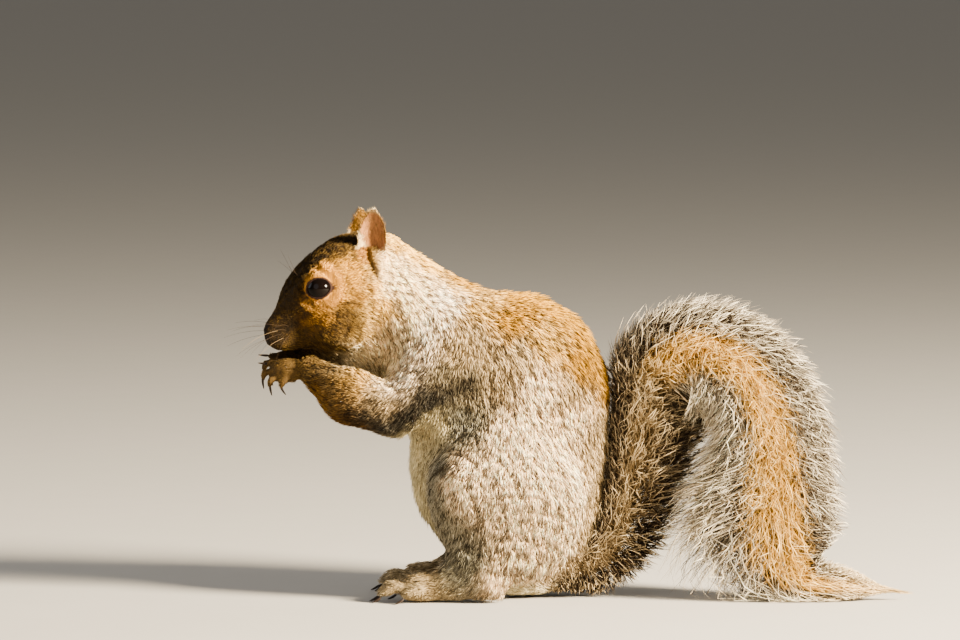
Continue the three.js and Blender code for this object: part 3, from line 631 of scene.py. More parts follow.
# %% The table of the coat: place, the way it lies, its length in mm, and its kind
LIE = [
    ((-105, 0, 116), (1, 0, 0.6), 0.765, "nose"),
    ((-101, 0, 122), (0.7, 0, 0.7), 1.19, "muzzle"),
    # the side of the muzzle is painted darker, as shade where it turns from the light
    ((-100, 5, 117), (0.95, 0.2, 0.1), 1.105, "shaded_lip"),
    ((-96, 3, 128), (0.6, 0, 0.8), 1.53, "muzzle"),
    ((-94, 8, 122), (0.9, 0.2, 0.15), 1.445, "shaded_lip"),
    ((-93, 5, 133), (0.65, 0, 0.75), 1.87, "crown"),
    ((-90, 4, 139), (0.7, 0, 0.7), 2.125, "crown"),
    ((-86, 9, 144), (0.75, 0, 0.6), 2.125, "crown"),
    ((-83, 5, 149), (0.85, 0, 0.5), 2.38, "crown"),
    ((-78, 9, 151), (0.9, 0, 0.4), 2.38, "crown"),
    ((-72, 5, 158), (0.97, 0, 0.2), 2.72, "crown"),
    ((-67, 11, 156), (0.95, 0, 0.25), 2.55, "crown"),
    ((-74, 11, 154), (0.95, 0, 0.3), 2.55, "crown"),
    ((-80, 11, 147), (0.85, 0, 0.45), 2.21, "crown"),
    ((-62, 4, 161), (1, 0, -0.05), 3.06, "crown"),
    ((-89, 11, 131), (0.85, 0.2, 0.1), 1.615, "golden"),
    ((-88, 12, 136), (0.8, 0.1, 0.5), 1.615, "golden"),
    ((-80, 13, 127), (0.9, 0.1, -0.25), 1.955, "face"),
    ((-85, 11, 124), (0.9, 0.1, -0.15), 1.87, "face"),
    ((-88, 10, 117), (0.9, 0.2, -0.1), 1.615, "muzzle"),
    ((-80, 12, 115), (0.9, 0.1, -0.2), 2.04, "muzzle"),
    # the cheek is painted darker, as shade where it turns from the light
    ((-76, 15, 120), (0.9, 0.1, -0.3), 2.295, "golden"),
    ((-70, 18, 130), (0.93, 0.1, -0.2), 2.55, "golden"),
    ((-72, 16, 136), (0.93, 0.1, -0.1), 2.38, "brow"),
    ((-69, 16, 147), (0.9, 0, 0.3), 2.21, "brow"),
    ((-84, 12, 142), (0.8, 0, 0.5), 1.87, "crown"),
    ((-66, 17, 142), (0.93, 0, 0.1), 2.55, "brow"),
    ((-75, 14, 144), (0.9, 0, 0.3), 2.125, "brow"),
    ((-65, 19, 134), (0.9, 0, -0.2), 2.72, "face"),
    ((-62, 15, 148), (0.9, 0, 0.3), 2.38, "side"),
    ((-69, 18, 125), (0.9, 0.1, -0.3), 2.72, "golden"),
    ((-68, 18, 120), (0.9, 0.1, -0.4), 2.89, "golden"),
    ((-62, 20, 128), (0.85, 0, -0.4), 3.23, "side"),
    ((-58, 20, 134), (0.85, 0, -0.4), 3.23, "nape"),
    ((-62, 18, 116), (0.85, 0, -0.5), 3.4, "side"),
    ((-52, 21, 138), (0.8, 0, -0.5), 2.728, "pale_neck"),
    ((-53, 22, 128), (0.7, 0, -0.7), 2.852, "nape"),
    ((-96, 3, 109), (0.95, 0, -0.3), 1.53, "muzzle"),
    ((-84, 7, 108), (0.95, 0, -0.3), 2.55, "muzzle"),
    ((-74, 12, 110), (0.9, 0, -0.45), 3.4, "muzzle"),
    ((-64, 13, 107), (0.8, 0, -0.6), 2.79, "throat"),
    ((-60, 6, 99), (0.5, 0, -0.8), 3.1, "throat"),
    ((-52, 8, 160), (0.92, 0, -0.3), 3.1, "nape"),
    ((-45, 5, 157), (0.85, 0, -0.45), 3.72, "nape"),
    ((-48, 16, 146), (0.8, 0, -0.55), 3.41, "pale_neck"),
    ((-33, 5, 151), (0.78, 0, -0.6), 4.34, "nape"),
    ((-40, 20, 134), (0.6, 0, -0.8), 4.34, "pale_neck"),
    ((-46, 22, 120), (0.45, 0, -0.9), 4.34, "pale_neck"),
    ((-56, 17, 111), (0.3, 0, -0.9), 2.852, "pale_neck"),
    ((-52, 20, 104), (0.1, 0, -1), 2.852, "throat"),
    ((-50, 6, 108), (0.1, 0, -1), 4.34, "throat"),
    ((-18, 5, 142), (0.9, 0, -0.4), 4.96, "back"),
    ((-24, 18, 134), (0.72, 0, -0.68), 4.65, "shoulder"),
    ((-30, 27, 120), (0.15, 0, -0.98), 4.34, "shoulder"),
    ((-36, 29, 110), (-0.1, 0, -1), 4.03, "shoulder"),
    ((-46, 30, 105), (-0.3, 0, -0.95), 3.72, "shoulder"),
    ((-44, 31, 99), (-0.5, 0, -0.85), 4.03, "shoulder"),
    ((-40, 31, 84), (-0.6, 0, -0.75), 3.72, "shade"),
    ((-24, 31, 101), (-0.3, 0, -0.95), 4.03, "grey"),
    ((-14, 31, 100), (0.1, 0, -1), 4.34, "grey"),
    ((-12, 32, 90), (0.1, 0, -1), 4.34, "grey"),
    ((-20, 31, 110), (-0.35, 0, -0.9), 4.34, "sand"),
    ((-12, 26, 119), (0.2, 0, -0.95), 4.65, "sand"),
    ((-20, 14, 138), (0.75, 0, -0.65), 4.65, "side"),
    ((-11, 20, 129), (0.6, 0, -0.8), 4.65, "side"),
    ((8, 29, 108), (0.45, 0, -0.9), 4.96, "sand"),
    ((-31, 31, 92), (-0.6, 0, -0.8), 4.03, "shade"),
    ((-48, 31, 88), (-0.75, 0, -0.6), 3.72, "sand"),
    ((-45, 31, 78), (-0.7, 0, -0.65), 3.72, "shade"),
    ((-4, 30, 100), (0.3, 0, -0.95), 4.65, "sand"),
    ((-16, 27, 82), (0.1, 0, -1), 3.72, "dark_flank"),
    ((-30, 29, 79), (-0.3, 0, -0.9), 3.72, "belly"),
    ((-37, 25, 76), (-0.2, 0, -0.95), 3.72, "belly"),
    ((2, 22, 126), (0.75, 0, -0.65), 4.96, "back"),
    ((10, 8, 135), (0.93, 0, -0.35), 5.27, "back"),
    ((26, 8, 129), (0.75, 0, -0.65), 5.27, "back"),
    ((38, 8, 117), (0.5, 0, -0.86), 5.27, "back"),
    ((46, 6, 98), (0.2, 0, -0.98), 5.27, "back"),
    ((48, 6, 76), (0.02, 0, -1), 5.27, "rump"),
    ((44, 16, 70), (0.02, 0, -1), 5.27, "sand"),
    ((47, 6, 50), (-0.05, 0, -1), 5.27, "rump"),
    ((42, 10, 24), (0.1, 0, -0.98), 4.96, "rump"),
    ((20, 26, 116), (0.6, 0, -0.8), 4.96, "side"),
    ((36, 20, 105), (0.35, 0, -0.93), 5.27, "back"),
    ((34, 27, 94), (0.3, 0, -0.93), 5.27, "sand"),
    ((16, 31, 96), (0.35, 0, -0.93), 5.27, "flank"),
    ((36, 26, 82), (0.15, 0, -0.98), 5.27, "flank"),
    ((30, 32, 60), (0.05, 0, -1), 5.27, "flank"),
    ((4, 38, 78), (0.1, 0, -0.98), 5.27, "flank"),
    ((4, 43, 50), (0, 0, -1), 4.96, "flank"),
    ((-16, 40, 58), (-0.15, 0.1, -0.98), 4.65, "flank"),
    # the front of the thigh is painted darker, as shade where it turns from the light
    ((-28, 33, 62), (-0.3, 0.1, -0.93), 4.34, "dark_flank"),
    ((-32, 30, 44), (-0.2, 0.1, -0.95), 4.03, "dark_flank"),
    ((-27, 32, 26), (-0.25, 0.1, -0.95), 3.72, "dark_flank"),
    ((2, 39, 16), (-0.05, 0, -1), 4.65, "flank"),
    ((-14, 37, 20), (-0.15, 0, -0.98), 4.34, "dark_flank"),
    ((28, 28, 26), (0.1, 0, -1), 4.96, "flank"),
    ((-46, 5, 88), (-0.1, 0, -1), 4.96, "belly"),
    ((-42, 8, 66), (0, 0, -1), 5.58, "belly"),
    ((-40, 5, 45), (0.1, 0, -1), 5.58, "belly"),
    ((-34, 5, 22), (0.3, 0, -0.95), 4.34, "belly"),
    ((-22, 12, 84), (0.1, 0, -1), 4.96, "belly"),
    ((0, 5, 4), (1, 0, 0), 3.4, "belly"),
    ((-60, 24, 97), (-0.95, 0, 0.2), 2.79, "nape"),
    ((-64, 24, 86), (-0.95, 0, 0.15), 2.79, "golden"),
    ((-58, 24, 76), (-0.9, 0, 0.1), 2.79, "orange"),
    ((-66, 24, 91), (-0.95, 0, 0.15), 3.4, "orange"),
    ((-76, 20, 90), (-0.95, 0, 0.15), 3.06, "face"),
    ((-67, 23, 79), (-0.95, 0, 0.1), 2.79, "orange"),
    ((-55, 27, 85), (-0.85, 0, -0.3), 3.1, "shade"),
    ((-56, 25, 79), (-0.85, 0, -0.2), 3.1, "shade"),
    ((-62, 12, 88), (-0.9, 0, 0.1), 2.79, "face"),
    ((-74, 18, 96), (-1, 0, 0.15), 3.06, "golden"),
    ((-84, 13, 100), (-1, 0, 0.1), 2.38, "hand"),
    ((-94, 10, 100), (-1, 0, 0), 1.445, "hand"),
    ((-101, 8, 96), (-0.6, 0, -0.8), 0.935, "hand"),
    ((-20, 28, 16), (-0.85, 0, -0.45), 3.1, "dark_flank"),
    ((-30, 25, 12), (-1, 0, -0.15), 3.06, "foot"),
    ((-42, 23, 9), (-1, 0, -0.25), 2.21, "foot"),
    ((-48, 22, 6), (-1, 0, -0.3), 3.06, "toe"),
    ((-40, 33, 5), (-1, 0, -0.3), 2.72, "toe"),
    ((40, 6, 18), (0.8, 0, 0.2), 4.96, "rump"),
]
PLACES = np.array([place for place, _, _, _ in LIE], dtype=float)
WAYS = unit(np.array([way for _, way, _, _ in LIE], dtype=float))
LENGTHS = np.array([length for _, _, length, _ in LIE])
KIND_AT = np.eye(len(KINDS))[[KINDS.index(kind) for _, _, _, kind in LIE]]
print("places in the table:", len(LIE), "longest hair, mm:", LENGTHS.max())


# %% Read the table anywhere on the animal
LIE_BLUR, KIND_BLUR = 36, 18  # in square mm: the lie changes more softly than the colours
BATCH = 20000  # points read at a time


def ripple(points, size, seed):
    """A smooth random number for each point, about 1 either way, that changes over a size in mm."""
    rng = np.random.default_rng(seed)
    waves = rng.normal(size=(10, 3)) * (1.4 * math.pi / size)
    return np.sin(points @ waves.T + rng.uniform(0, 2 * math.pi, 10)).sum(1) / 2.2


def read_table(points):
    """The way the coat lies, its length, and how much of each kind of fur grows, at each point."""
    folded = on_left(points) * (1, -1, 1)
    way = np.empty_like(points)
    length = np.empty(len(points))
    kinds = np.empty((len(points), len(KINDS)))
    # the borders between colours wander by about a millimetre
    jitter = np.stack([ripple(folded, 5, 31 + n) for n in range(3)], -1) * 1.2
    for start in range(0, len(points), BATCH):
        here = slice(start, start + BATCH)
        square = ((folded[here, None] - PLACES) ** 2).sum(-1)
        near = 1 / (square + LIE_BLUR) ** 2
        near /= near.sum(1, keepdims=True)
        way[here] = near @ WAYS
        length[here] = near @ LENGTHS
        square = ((folded[here, None] + jitter[here, None] - PLACES) ** 2).sum(-1)
        near = 1 / (square + KIND_BLUR) ** 2.6
        kinds[here] = (near / near.sum(1, keepdims=True)) @ KIND_AT
    turn_back = turned(NECK_PIVOT + way * [1, 0, 1], HEAD_TURN * face_share(points)) - NECK_PIVOT
    way = turn_back + way * [0, 1, 0] * np.sign(points[:, 1:2])
    return unit(way), length, kinds


def swap(kinds, kind, share):
    """Gives a share of each place over to one kind."""
    kinds *= 1 - share[:, None]
    kinds[:, KINDS.index(kind)] += share


def ellipse(points, centre, half, soft=0.25):
    """1 inside an ellipsoid, 0 outside, with an edge as soft as the share of its size that is given."""
    far = np.linalg.norm((points - centre) / half, axis=1)
    return smooth(1 + soft, 1 - soft, far)


way, length, _ = read_table(np.array([(-78.0, -10.0, 150.0)]))
print("on the crown the hair lies along", np.round(way[0], 2), "and is", np.round(length[0], 1), "mm long")

# %% The sharper markings, and painted shade in folds
# the fold behind the elbow, where a band of painted shade lies over dark grey fur
ELBOW_FOLD = [(-12, -31, 98), (-20.5, -31, 94.5), (-28.5, -31, 90), (-39, -31, 83), (-49, -30, 76)]


def markings(points, kinds):
    """The sharper markings, and painted shade in the fold behind the elbow and in the ear's grooves, on top
    of the blended table.
    """
    folded = on_left(points)
    face = face_share(points)
    spread, radius, way = around_eye(folded)
    wobble = ripple(points, 3, 77) * 0.08
    # the pale ring is widest above and behind the eye
    up, back = way @ eye_up, way @ eye_back
    wide = 1.09 + 0.36 * smooth(-0.1, 0.6, up) + 0.22 * smooth(0.1, 0.6, back)
    wide += 0.14 * smooth(0.2, 0.6, -up)
    ring = smooth(0.16, -0.16, spread + wobble - wide) * smooth(12.5, 10.5, radius)
    swap(kinds, "eye_ring", 0.9 * ring * face)
    swap(kinds, "rust", 0.7 * ellipse(folded, (-62.5, -13.5, 151), (3, 4, 8), 0.4) * face)
    swap(kinds, "ear_rim", 0.9 * ellipse(folded, (-49, -18, 152), (3.5, 4, 7), 0.4) * face)
    # painted shade along the fold behind the elbow
    swap(kinds, "shade", 0.95 * near_line(folded, ELBOW_FOLD, 5.0))
    swap(kinds, "nose", ellipse(folded, (-105.5, 0, 116), (3.2, 3.6, 3.4), 0.2) * face)
    swap(kinds, "ear_rim", 0.7 * near_line(folded, EAR_LOBE, 2.2) * face)
    # the notch before the ear and the crease behind it are painted dark, as painted shade in these grooves
    swap(kinds, "nose", 0.95 * near_line(folded, EAR_NOTCH, 1.6) * face)
    swap(kinds, "muzzle", 0.8 * near_line(folded, EAR_CREASE, 1.2) * face)
    return kinds


print("points in the fold behind the elbow:", len(ELBOW_FOLD))

# %% [markdown]
# ## The coat's locks
#
# Real fur is many thousand hairs, too many to model one by one, but neighbouring hairs cling together
# in fine locks. Each lock here is a small closed solid: it starts at a point under the skin, swells
# to a three-sided waist, bends, and ends in a point. Particle hair would be quicker to grow but it
# isn't solid, so the locks are built as plain arrays of points and triangles, thousands at a time.

# %% Where each lock lies on the unwrap
PATCH = 0.003  # the side of each lock's own patch on the unwrap


def cells_of(height, angle):
    """A cell of a square unwrap for each root: rows by height, and by angle within each row."""
    side = math.ceil(math.sqrt(len(height)))
    rows = np.argsort(np.argsort(height, kind="stable"), kind="stable") // side
    place = np.empty(len(height), dtype=int)
    place[np.lexsort((angle, rows))] = np.arange(len(height))
    return np.stack([place % side + 0.5, place // side + 0.5], -1) / side


def unwrapped(points, axis_start, axis_end):
    """Each root's own cell on a round-the-body unwrap: height along the axis, angle round it."""
    axis_start, axis_end = np.asarray(axis_start, float), np.asarray(axis_end, float)
    along = unit(axis_end - axis_start)
    first = unit(np.cross(along, [0.13, 1, 0.07]))
    offset = points - axis_start
    return cells_of(offset @ along, np.arctan2(offset @ np.cross(along, first), offset @ first))


print("patches side by side on an unwrap, at most:", round(1 / PATCH))

# %% One mesh of many locks
# corners of the faces of a lock with one ring, and of one with two
SHORT = [(0, 2, 1), (0, 3, 2), (0, 1, 3), (4, 1, 2), (4, 2, 3), (4, 3, 1)]
LONG = [(0, 2, 1), (0, 3, 2), (0, 1, 3), (7, 4, 5), (7, 5, 6), (7, 6, 4)]
LONG += [(1, 2, 5), (1, 5, 4), (2, 3, 6), (2, 6, 5), (3, 1, 4), (3, 4, 6)]
CORNERS = np.array([(-0.5, -0.18), (0.5, -0.18), (0.0, 0.42)])
LIFTED = 0.12  # mm above the floor, at least


def locks(name, path, width, sideways, upwards, colour, cells):
    """Closed tapering locks along paths of three or four points, as one mesh.

    path, colour: (lock, step, 3); width: (lock, ring); sideways, upwards: (lock, ring, 3)."""
    count, steps = path.shape[:2]
    rings = steps - 2
    shape = np.array(SHORT if rings == 1 else LONG)
    per = 2 + 3 * rings
    points = np.empty((count, per, 3))
    tint = np.empty((count, per, 3))
    points[:, 0], points[:, -1] = path[:, 0], path[:, -1]
    tint[:, 0], tint[:, -1] = colour[:, 0], colour[:, -1]
    corner_uv = np.zeros((per, 2))
    corner_uv[0], corner_uv[-1] = (0.5, 0.0), (0.5, 1.0)
    for ring in range(rings):
        for corner, (a, b) in enumerate(CORNERS):
            n = 1 + 3 * ring + corner
            spread = a * sideways[:, ring] + b * upwards[:, ring]
            points[:, n] = path[:, ring + 1] + spread * width[:, ring, None]
            # the ridge of a lock is painted lighter and its two edges darker, as painted light and shade on
            # its own form
            tint[:, n] = colour[:, ring + 1] * (1.06 if corner == 2 else 0.86)
            corner_uv[n] = (a + 0.5, (ring + 1) / (rings + 1) + (0.08 if corner == 2 else 0))
    # every third point is held higher, so a lock on the floor keeps its thickness
    points[..., 2] = np.maximum(points[..., 2], LIFTED + 0.3 * (np.arange(per) % 3 == 0))
    faces = (shape[None] + per * np.arange(count)[:, None, None]).reshape(-1, 3)
    mesh = make_mesh(name, to_model(points.reshape(-1, 3)), faces)
    paint_points(mesh, np.clip(tint, 0, 1).reshape(-1, 3))
    patch = cells[:, None, None] - PATCH / 2 + corner_uv[shape][None] * PATCH
    layer = mesh.uv_layers.new(name="OFBake", do_init=False)
    layer.uv.foreach_set("vector", patch.reshape(-1).astype(np.float32))
    piece = make_object(name, mesh)
    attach(piece, "root")
    return piece


print("triangles in a short lock and in a long one:", len(SHORT), len(LONG))

# %% Points of skin for the coat to grow from
WALK_CELL = 0.9  # mm
face_part = part_of[skin_faces[:, 0]]
face_area = np.linalg.norm(face_normals(skin, skin_faces), axis=1) / 2
face_middle = skin[skin_faces].mean(1)


def curve_order(points):
    """An order that keeps neighbours together: the cells of a 3-D grid read in a folded walk."""
    cells = ((points - points.min(0)) / WALK_CELL).astype(np.int64)
    code = np.zeros(len(points), dtype=np.int64)
    for bit in range(9):
        for axis in range(3):
            code |= ((cells[:, axis] >> bit) & 1) << (3 * bit + axis)
    return np.argsort(code, kind="stable")


def scatter(chosen, weight, count, seed):
    """Points spread evenly over the chosen faces: their places, normals and the face each is on."""
    rng = np.random.default_rng(seed)
    faces = np.flatnonzero(chosen)
    faces = faces[curve_order(face_middle[faces])]
    total = np.cumsum(face_area[faces] * weight[faces])
    at = (np.arange(count) + rng.random(count)) / count * total[-1]
    picked = faces[np.minimum(np.searchsorted(total, at), len(faces) - 1)]
    a, b = rng.random((2, count))
    a, b = np.where(a + b > 1, 1 - a, a), np.where(a + b > 1, 1 - b, b)
    share = np.stack([1 - a - b, a, b], -1)[..., None]
    corners = skin_faces[picked]
    return (skin[corners] * share).sum(1), unit((normals[corners] * share).sum(1)), picked


print("area of the skin, mm2:", round(float(face_area.sum())))


# %% Where no hair grows, and where it is thick
folded = on_left(face_middle)
spread, radius, _ = around_eye(folded)
on_face = face_share(face_middle)
bare = (spread < 1.07) & (radius < 9) & (on_face > 0.5)
bare |= (line_distance(folded, NOSTRIL) < 1.0) & (on_face > 0.5)
bare |= (face_middle[:, 2] < 0.7) & (face_normals(skin, skin_faces)[:, 2] < 0)
# thickest near the eye and on the muzzle, and thin on the nose
weight = np.where(bare, 0.0, 1 + 0.9 * smooth(13, 8, radius) * on_face)
weight *= 1 + 0.9 * smooth(-87, -93, folded[:, 0]) * on_face
weight *= 1 - 0.85 * ellipse(folded, (-105.8, 0, 116), (2.6, 3.2, 3.0), 0.2) * on_face
EARS = {side: ear_frame(side) for side in SIDES}
print("half height and width of an ear, mm:", np.round(EARS["left"][4], 1))


# %% The fur of an ear
def ear_place(points, side):
    """Height on the ear, 0 in its middle and 1 at its tip, and how near to its edge, 1, a point is."""
    middle, _, up, across, half = EARS[side]
    height, width = (points - middle) @ up / half[0], (points - middle) @ across / half[1]
    return height, np.hypot(height, width)


def ear_kinds(points, facing, side):
    """Pale at the rim, thin and tan in the cup and painted darker at its bottom as shade, golden behind."""
    kinds = np.zeros((len(points), len(KINDS)))
    kinds[:, KINDS.index("ear")] = 1
    turn = facing @ EARS[side][1]
    height, edge = ear_place(points, side)
    swap(kinds, "golden", 0.4 * smooth(-0.2, -0.7, turn))
    swap(kinds, "face", 0.8 * smooth(-0.2, -0.7, turn))
    # the bottom of the cup is painted rust, as painted shade deep in the cup
    swap(kinds, "rust", 0.6 * smooth(0.1, -0.6, height) * smooth(0.3, 0.7, turn))
    swap(kinds, "ear_rim", 0.9 * smooth(0.66, 0.86, edge) * smooth(-0.9, -0.7, height))
    return kinds


print("points of skin on the two ears:", [int(on_ear(side).sum()) for side in SIDES])


# %% Colour the skin
_, _, skin_kinds = read_table(skin)
skin_kinds = markings(skin, skin_kinds)
for side in SIDES:
    own = on_ear(side)
    skin_kinds[own] = ear_kinds(skin[own], normals[own], side)
along_tail = in_parts("tail") > 0
skin_kinds[along_tail] = 0
skin_kinds[along_tail, KINDS.index("rump")] = 1
SKIN_SHARES = np.array([0.35, 0.6, 0.0])  # the skin shows the colours of hair roots and middles
skin_tint = np.einsum("nk,kcd,c->nd", skin_kinds, COLOUR_OF, SKIN_SHARES)
cup_skin, shaded_lip, lid_rim = (linear(code) for code in ("#8a5a34", "#2a1a12", "#1c0f0a"))
for side, ear in EARS.items():
    _, edge = ear_place(skin, side)
    share = (smooth(0.45, 0.8, normals @ ear[1]) * smooth(0.86, 0.66, edge) * on_ear(side))[:, None]
    skin_tint = mixed(skin_tint, cup_skin, 0.8 * share)
folded = on_left(skin)
on_face = face_share(skin)
# the mouth line, the nostrils and the skin inside the lids are painted dark: dark lip skin, with painted
# shade in these grooves and openings
dark = np.maximum(near_line(folded, MOUTH_LINE, 0.7), near_line(folded, NOSTRIL, 0.9)) * on_face
spread, radius, _ = around_eye(folded)
dark = np.maximum(dark, (spread < 1.1) * (radius < 9) * (on_face > 0.5))[:, None]
skin_tint = mixed(skin_tint, shaded_lip, dark)
print("skin coloured", clock())

# %% The skin as one piece
skin_points, skin_quads = stacked([(skin, quads)] + rims)
skin_mesh = make_mesh("skin", to_model(skin_points), skin_quads)
rim_tint = np.tile(lid_rim, (len(skin_points) - len(skin), 1))
paint_points(skin_mesh, np.vstack([skin_tint, rim_tint]))
skin_piece = make_object("skin", skin_mesh)
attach(skin_piece, "root")
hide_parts(*FLESH, *TAIL_NODES)
print("faces in the skin:", len(skin_mesh.polygons))

# %% [markdown]
# ## The short coat
#
# Short hair leaves the skin steeply and then lies over, so each lock has a waist between its root and
# its tip. Locks are narrow and close on the face and hands, and broader on the body. The side that is
# seen least gets fewer, wider ones. A comb in a sculpting tool could lay them, but here the table
# does it.

# %% The pieces of the short coat
COAT = {
    # piece: parts, locks, width in mm, lift in degrees, from where to where the unwrap runs, slot
    "coat_head": (("head",), 30000, 0.25, 17, ((-104, 0, 116), (-50, 0, 150)), "coat_ochre"),
    "coat_neck": (("neck",), 15000, 0.34, 20, ((-70, 0, 125), (-10, 0, 110)), "coat_grizzled"),
    "coat_trunk_left": (("trunk",), 25000, 0.38, 22, ((-20, 0, 0), (-5, 0, 140)), "coat_grizzled"),
    "coat_trunk_right": (("trunk",), 16000, 0.42, 22, ((-20, 0, 0), (-5, 0, 140)), "coat_grizzled"),
    "coat_thigh_left": (("thigh_left",), 18000, 0.38, 21, ((0, -20, 0), (0, -20, 90)), "coat_grizzled"),
    "coat_thigh_right": (("thigh_right",), 10000, 0.44, 21, ((0, 20, 0), (0, 20, 90)), "coat_grizzled"),
    "coat_arm_left": (("upper_arm_left", "forearm_left"), 12000, 0.34, 19,
                      ((-85, -14, 100), (-20, -25, 100)), "coat_ochre"),
    "coat_arm_right": (("upper_arm_right", "forearm_right"), 7000, 0.38, 19,
                       ((-85, 14, 100), (-20, 25, 100)), "coat_ochre"),
    "coat_hands": (("hand",), 4500, 0.2, 14, ((-110, 0, 95), (-80, 0, 100)), "coat_ochre"),
    "coat_feet": (("foot", "lower_leg"), 8000, 0.27, 16, ((-60, 0, 5), (0, 0, 15)), "coat_ochre"),
    "coat_ears": (("ear",), 5500, 0.19, 14, ((-57, 0, 140), (-57, 0, 175)), "coat_ochre"),
}
print("locks of short coat:", sum(row[1] for row in COAT.values()))


# %% How a lock of short hair lies
def laid_on(way, up):
    """Ways laid flat on the skin."""
    return unit(way - up * (way * up).sum(1, keepdims=True))


def cover_ears(root, up, face, way, length, kinds, rng):
    """Hair on an ear runs up from its root and is thin in the cup. Gives how full each lock is."""
    full = np.ones(len(root))
    for side, (_, cup, ear_up, _, _) in EARS.items():
        own = face_part[face] == NAMES.index(f"ear_{side}")
        if own.any():
            way[own] = ear_up
            kinds[own] = ear_kinds(root[own], up[own], side)
            turn = up[own] @ cup
            length[own] = 1.5 + 0.9 * smooth(0.62, 0.2, np.abs(turn)) + 0.8 * smooth(0.2, -0.6, turn)
            full[own] = np.where((turn > 0.5) & (rng.random(own.sum()) < 0.35), 0.05, 1)
    return full


def combed(tangent, up, root, rng):
    """The lie of the coat, swung a little to each side, in waves and at random."""
    swing = 0.13 * ripple(root, 7, 3) + 0.08 * ripple(root, 2.5, 4) + rng.normal(0, 0.17, len(root))
    return tangent * np.cos(swing)[:, None] + np.cross(tangent, up) * np.sin(swing)[:, None]


def parted(tangent, up, root):
    """Hair parts round the eye. Gives its lie, and how near to the lids each root is."""
    spread, radius, eye_way = around_eye(on_left(root))
    at_eye = smooth(1.5, 1.06, spread) * (radius < 11) * (face_share(root) > 0.5)
    fan = unit(unfolded(eye_way - eye_out * (eye_way @ eye_out)[:, None], root))
    return laid_on(tangent + 1.6 * at_eye[:, None] * fan, up), at_eye


print("the two ears' cups face:", [np.round(ear[1], 2).tolist() for ear in EARS.values()])


# %% The path and the colours of a lock
def hair_path(root, up, tangent, length, lift, rng):
    """The root, waist and tip of each lock."""
    count, reach = len(root), length[:, None]
    rise = np.clip(lift + 2.5 * ripple(root, 5, 8) + rng.normal(0, 4.5, count), *RISE_LIMITS)
    rise = np.radians(rise)[:, None]
    start = root - up * ROOT_DEPTH
    waist = start + reach * WAIST * (tangent * np.cos(rise * 1.5) + up * np.sin(rise * 1.5))
    tip = start + reach * (tangent * np.cos(rise) + up * np.sin(rise))
    tip += np.cross(tangent, up) * reach * rng.normal(0, 0.05, (count, 1))
    return np.stack([start, waist, tip], 1)


def hair_bands(root, kinds, rng):
    """The colours of each lock at root, waist and tip, with the black ticking in small tufts."""
    count = len(root)
    bands = np.einsum("nk,kcd->ncd", kinds, COLOUR_OF)
    tuft = ripple(root, TUFT_SIZE, 12)
    ticked = rng.random(count) < (kinds @ TICKED) * (1 + 1.1 * tuft)
    bands[ticked, 2] = mixed(bands[ticked, 2], TICK, 0.9)
    half = ticked & (rng.random(count) < 0.7)
    bands[half, 1] = mixed(bands[half, 1], TICK, 0.8)
    tone = rng.normal(0, 0.22, count) - 0.12 * tuft + 0.06 * ripple(root, 6, 14)
    return bands * np.exp(tone)[:, None, None]


ROOT_DEPTH = 0.35  # mm under the skin
WAIST = 0.42  # how far along its length a lock has its waist
RISE_LIMITS = (3, 36)  # degrees above the skin, to the tip
TUFT_SIZE = 2.4  # mm from one tuft of ticked hairs to the next, about
print("share of hairs ticked on the flank:", TICKED[KINDS.index("flank")])

# %% Grow the short coat
coat_pieces = []
for number, (name, (words, count, width, lift, axis, slot)) in enumerate(COAT.items()):
    rng = np.random.default_rng(500 + number)
    chosen = np.isin(face_part, parts_named(*words))
    if name.startswith("coat_trunk"):
        chosen &= (face_middle[:, 1] < 0) == name.endswith("left")
    root, up, face = scatter(chosen, weight, count, 900 + number)
    way, length, kinds = read_table(root)
    kinds = markings(root, kinds)
    full = cover_ears(root, up, face, way, length, kinds, rng)
    tangent, at_eye = parted(combed(laid_on(way, up), up, root, rng), up, root)
    length *= (1 - 0.45 * at_eye) * (1 + 0.1 * ripple(root, 4, 6) + rng.normal(0, 0.12, count)) * full
    length *= smooth(-1.5, 5, root[:, 2]) * 0.7 + 0.3
    path = hair_path(root, up, tangent, length, lift, rng)
    bands = hair_bands(root, kinds, rng)
    widths = width * np.exp(rng.normal(0, 0.2, count)) * (0.6 + 0.4 * full) * (1 - 0.3 * at_eye)
    beside = np.cross(tangent, up)
    cells = unwrapped(root, *axis)
    piece = locks(name, path, widths[:, None], beside[:, None], up[:, None], bands, cells)
    coat_pieces.append(piece)
    area = face_area[chosen].sum()
    print(f"{name}: {count} locks on {area:.0f} mm2, {count / area:.1f} to the mm2")
print("short coat grown", clock())

# %% [markdown]
# ## The tail
#
# The tail's hair is long, wavy and stands out to both sides like a bottle brush pressed flat. Each hair
# is rust at its root, then black, then white for its outer third, so the whole tail has a rusty
# middle, a dark band and a pale fringe. The hairs are laid out in the tail's own measure: along
# the bone, round it, and out from it, so they follow the bend.

# %% The tail's colours and its own measure
TAIL_FUR = {
    "rust": linear("#a67a26"),
    "cream": linear("#e2c080"),
    "brown": linear("#4a3a21"),
    "black": linear("#251c13"),
    "white": linear("#f5e4c4"),
    "grey": linear("#c4ab80"),
}
TAIL_SPAN = 345.0  # mm of hair to a whole share: more than the tail's line, so the hair leans less
TAIL_GIRTH = 14  # mm to a radian, in the clumps of hair
ROOT_SHARE = 0.8  # of the flesh's radius, where the roots of the hair are


def hair_limit(station, angle):
    """How far hair reaches from the bone at an angle round it, and on that side of the bend."""
    c, s = np.cos(angle), np.sin(angle)
    far = np.where(c > 0, station[:, 3], station[:, 4])
    return 1 / np.sqrt((c / far) ** 2 + (s / station[:, 5]) ** 2), far


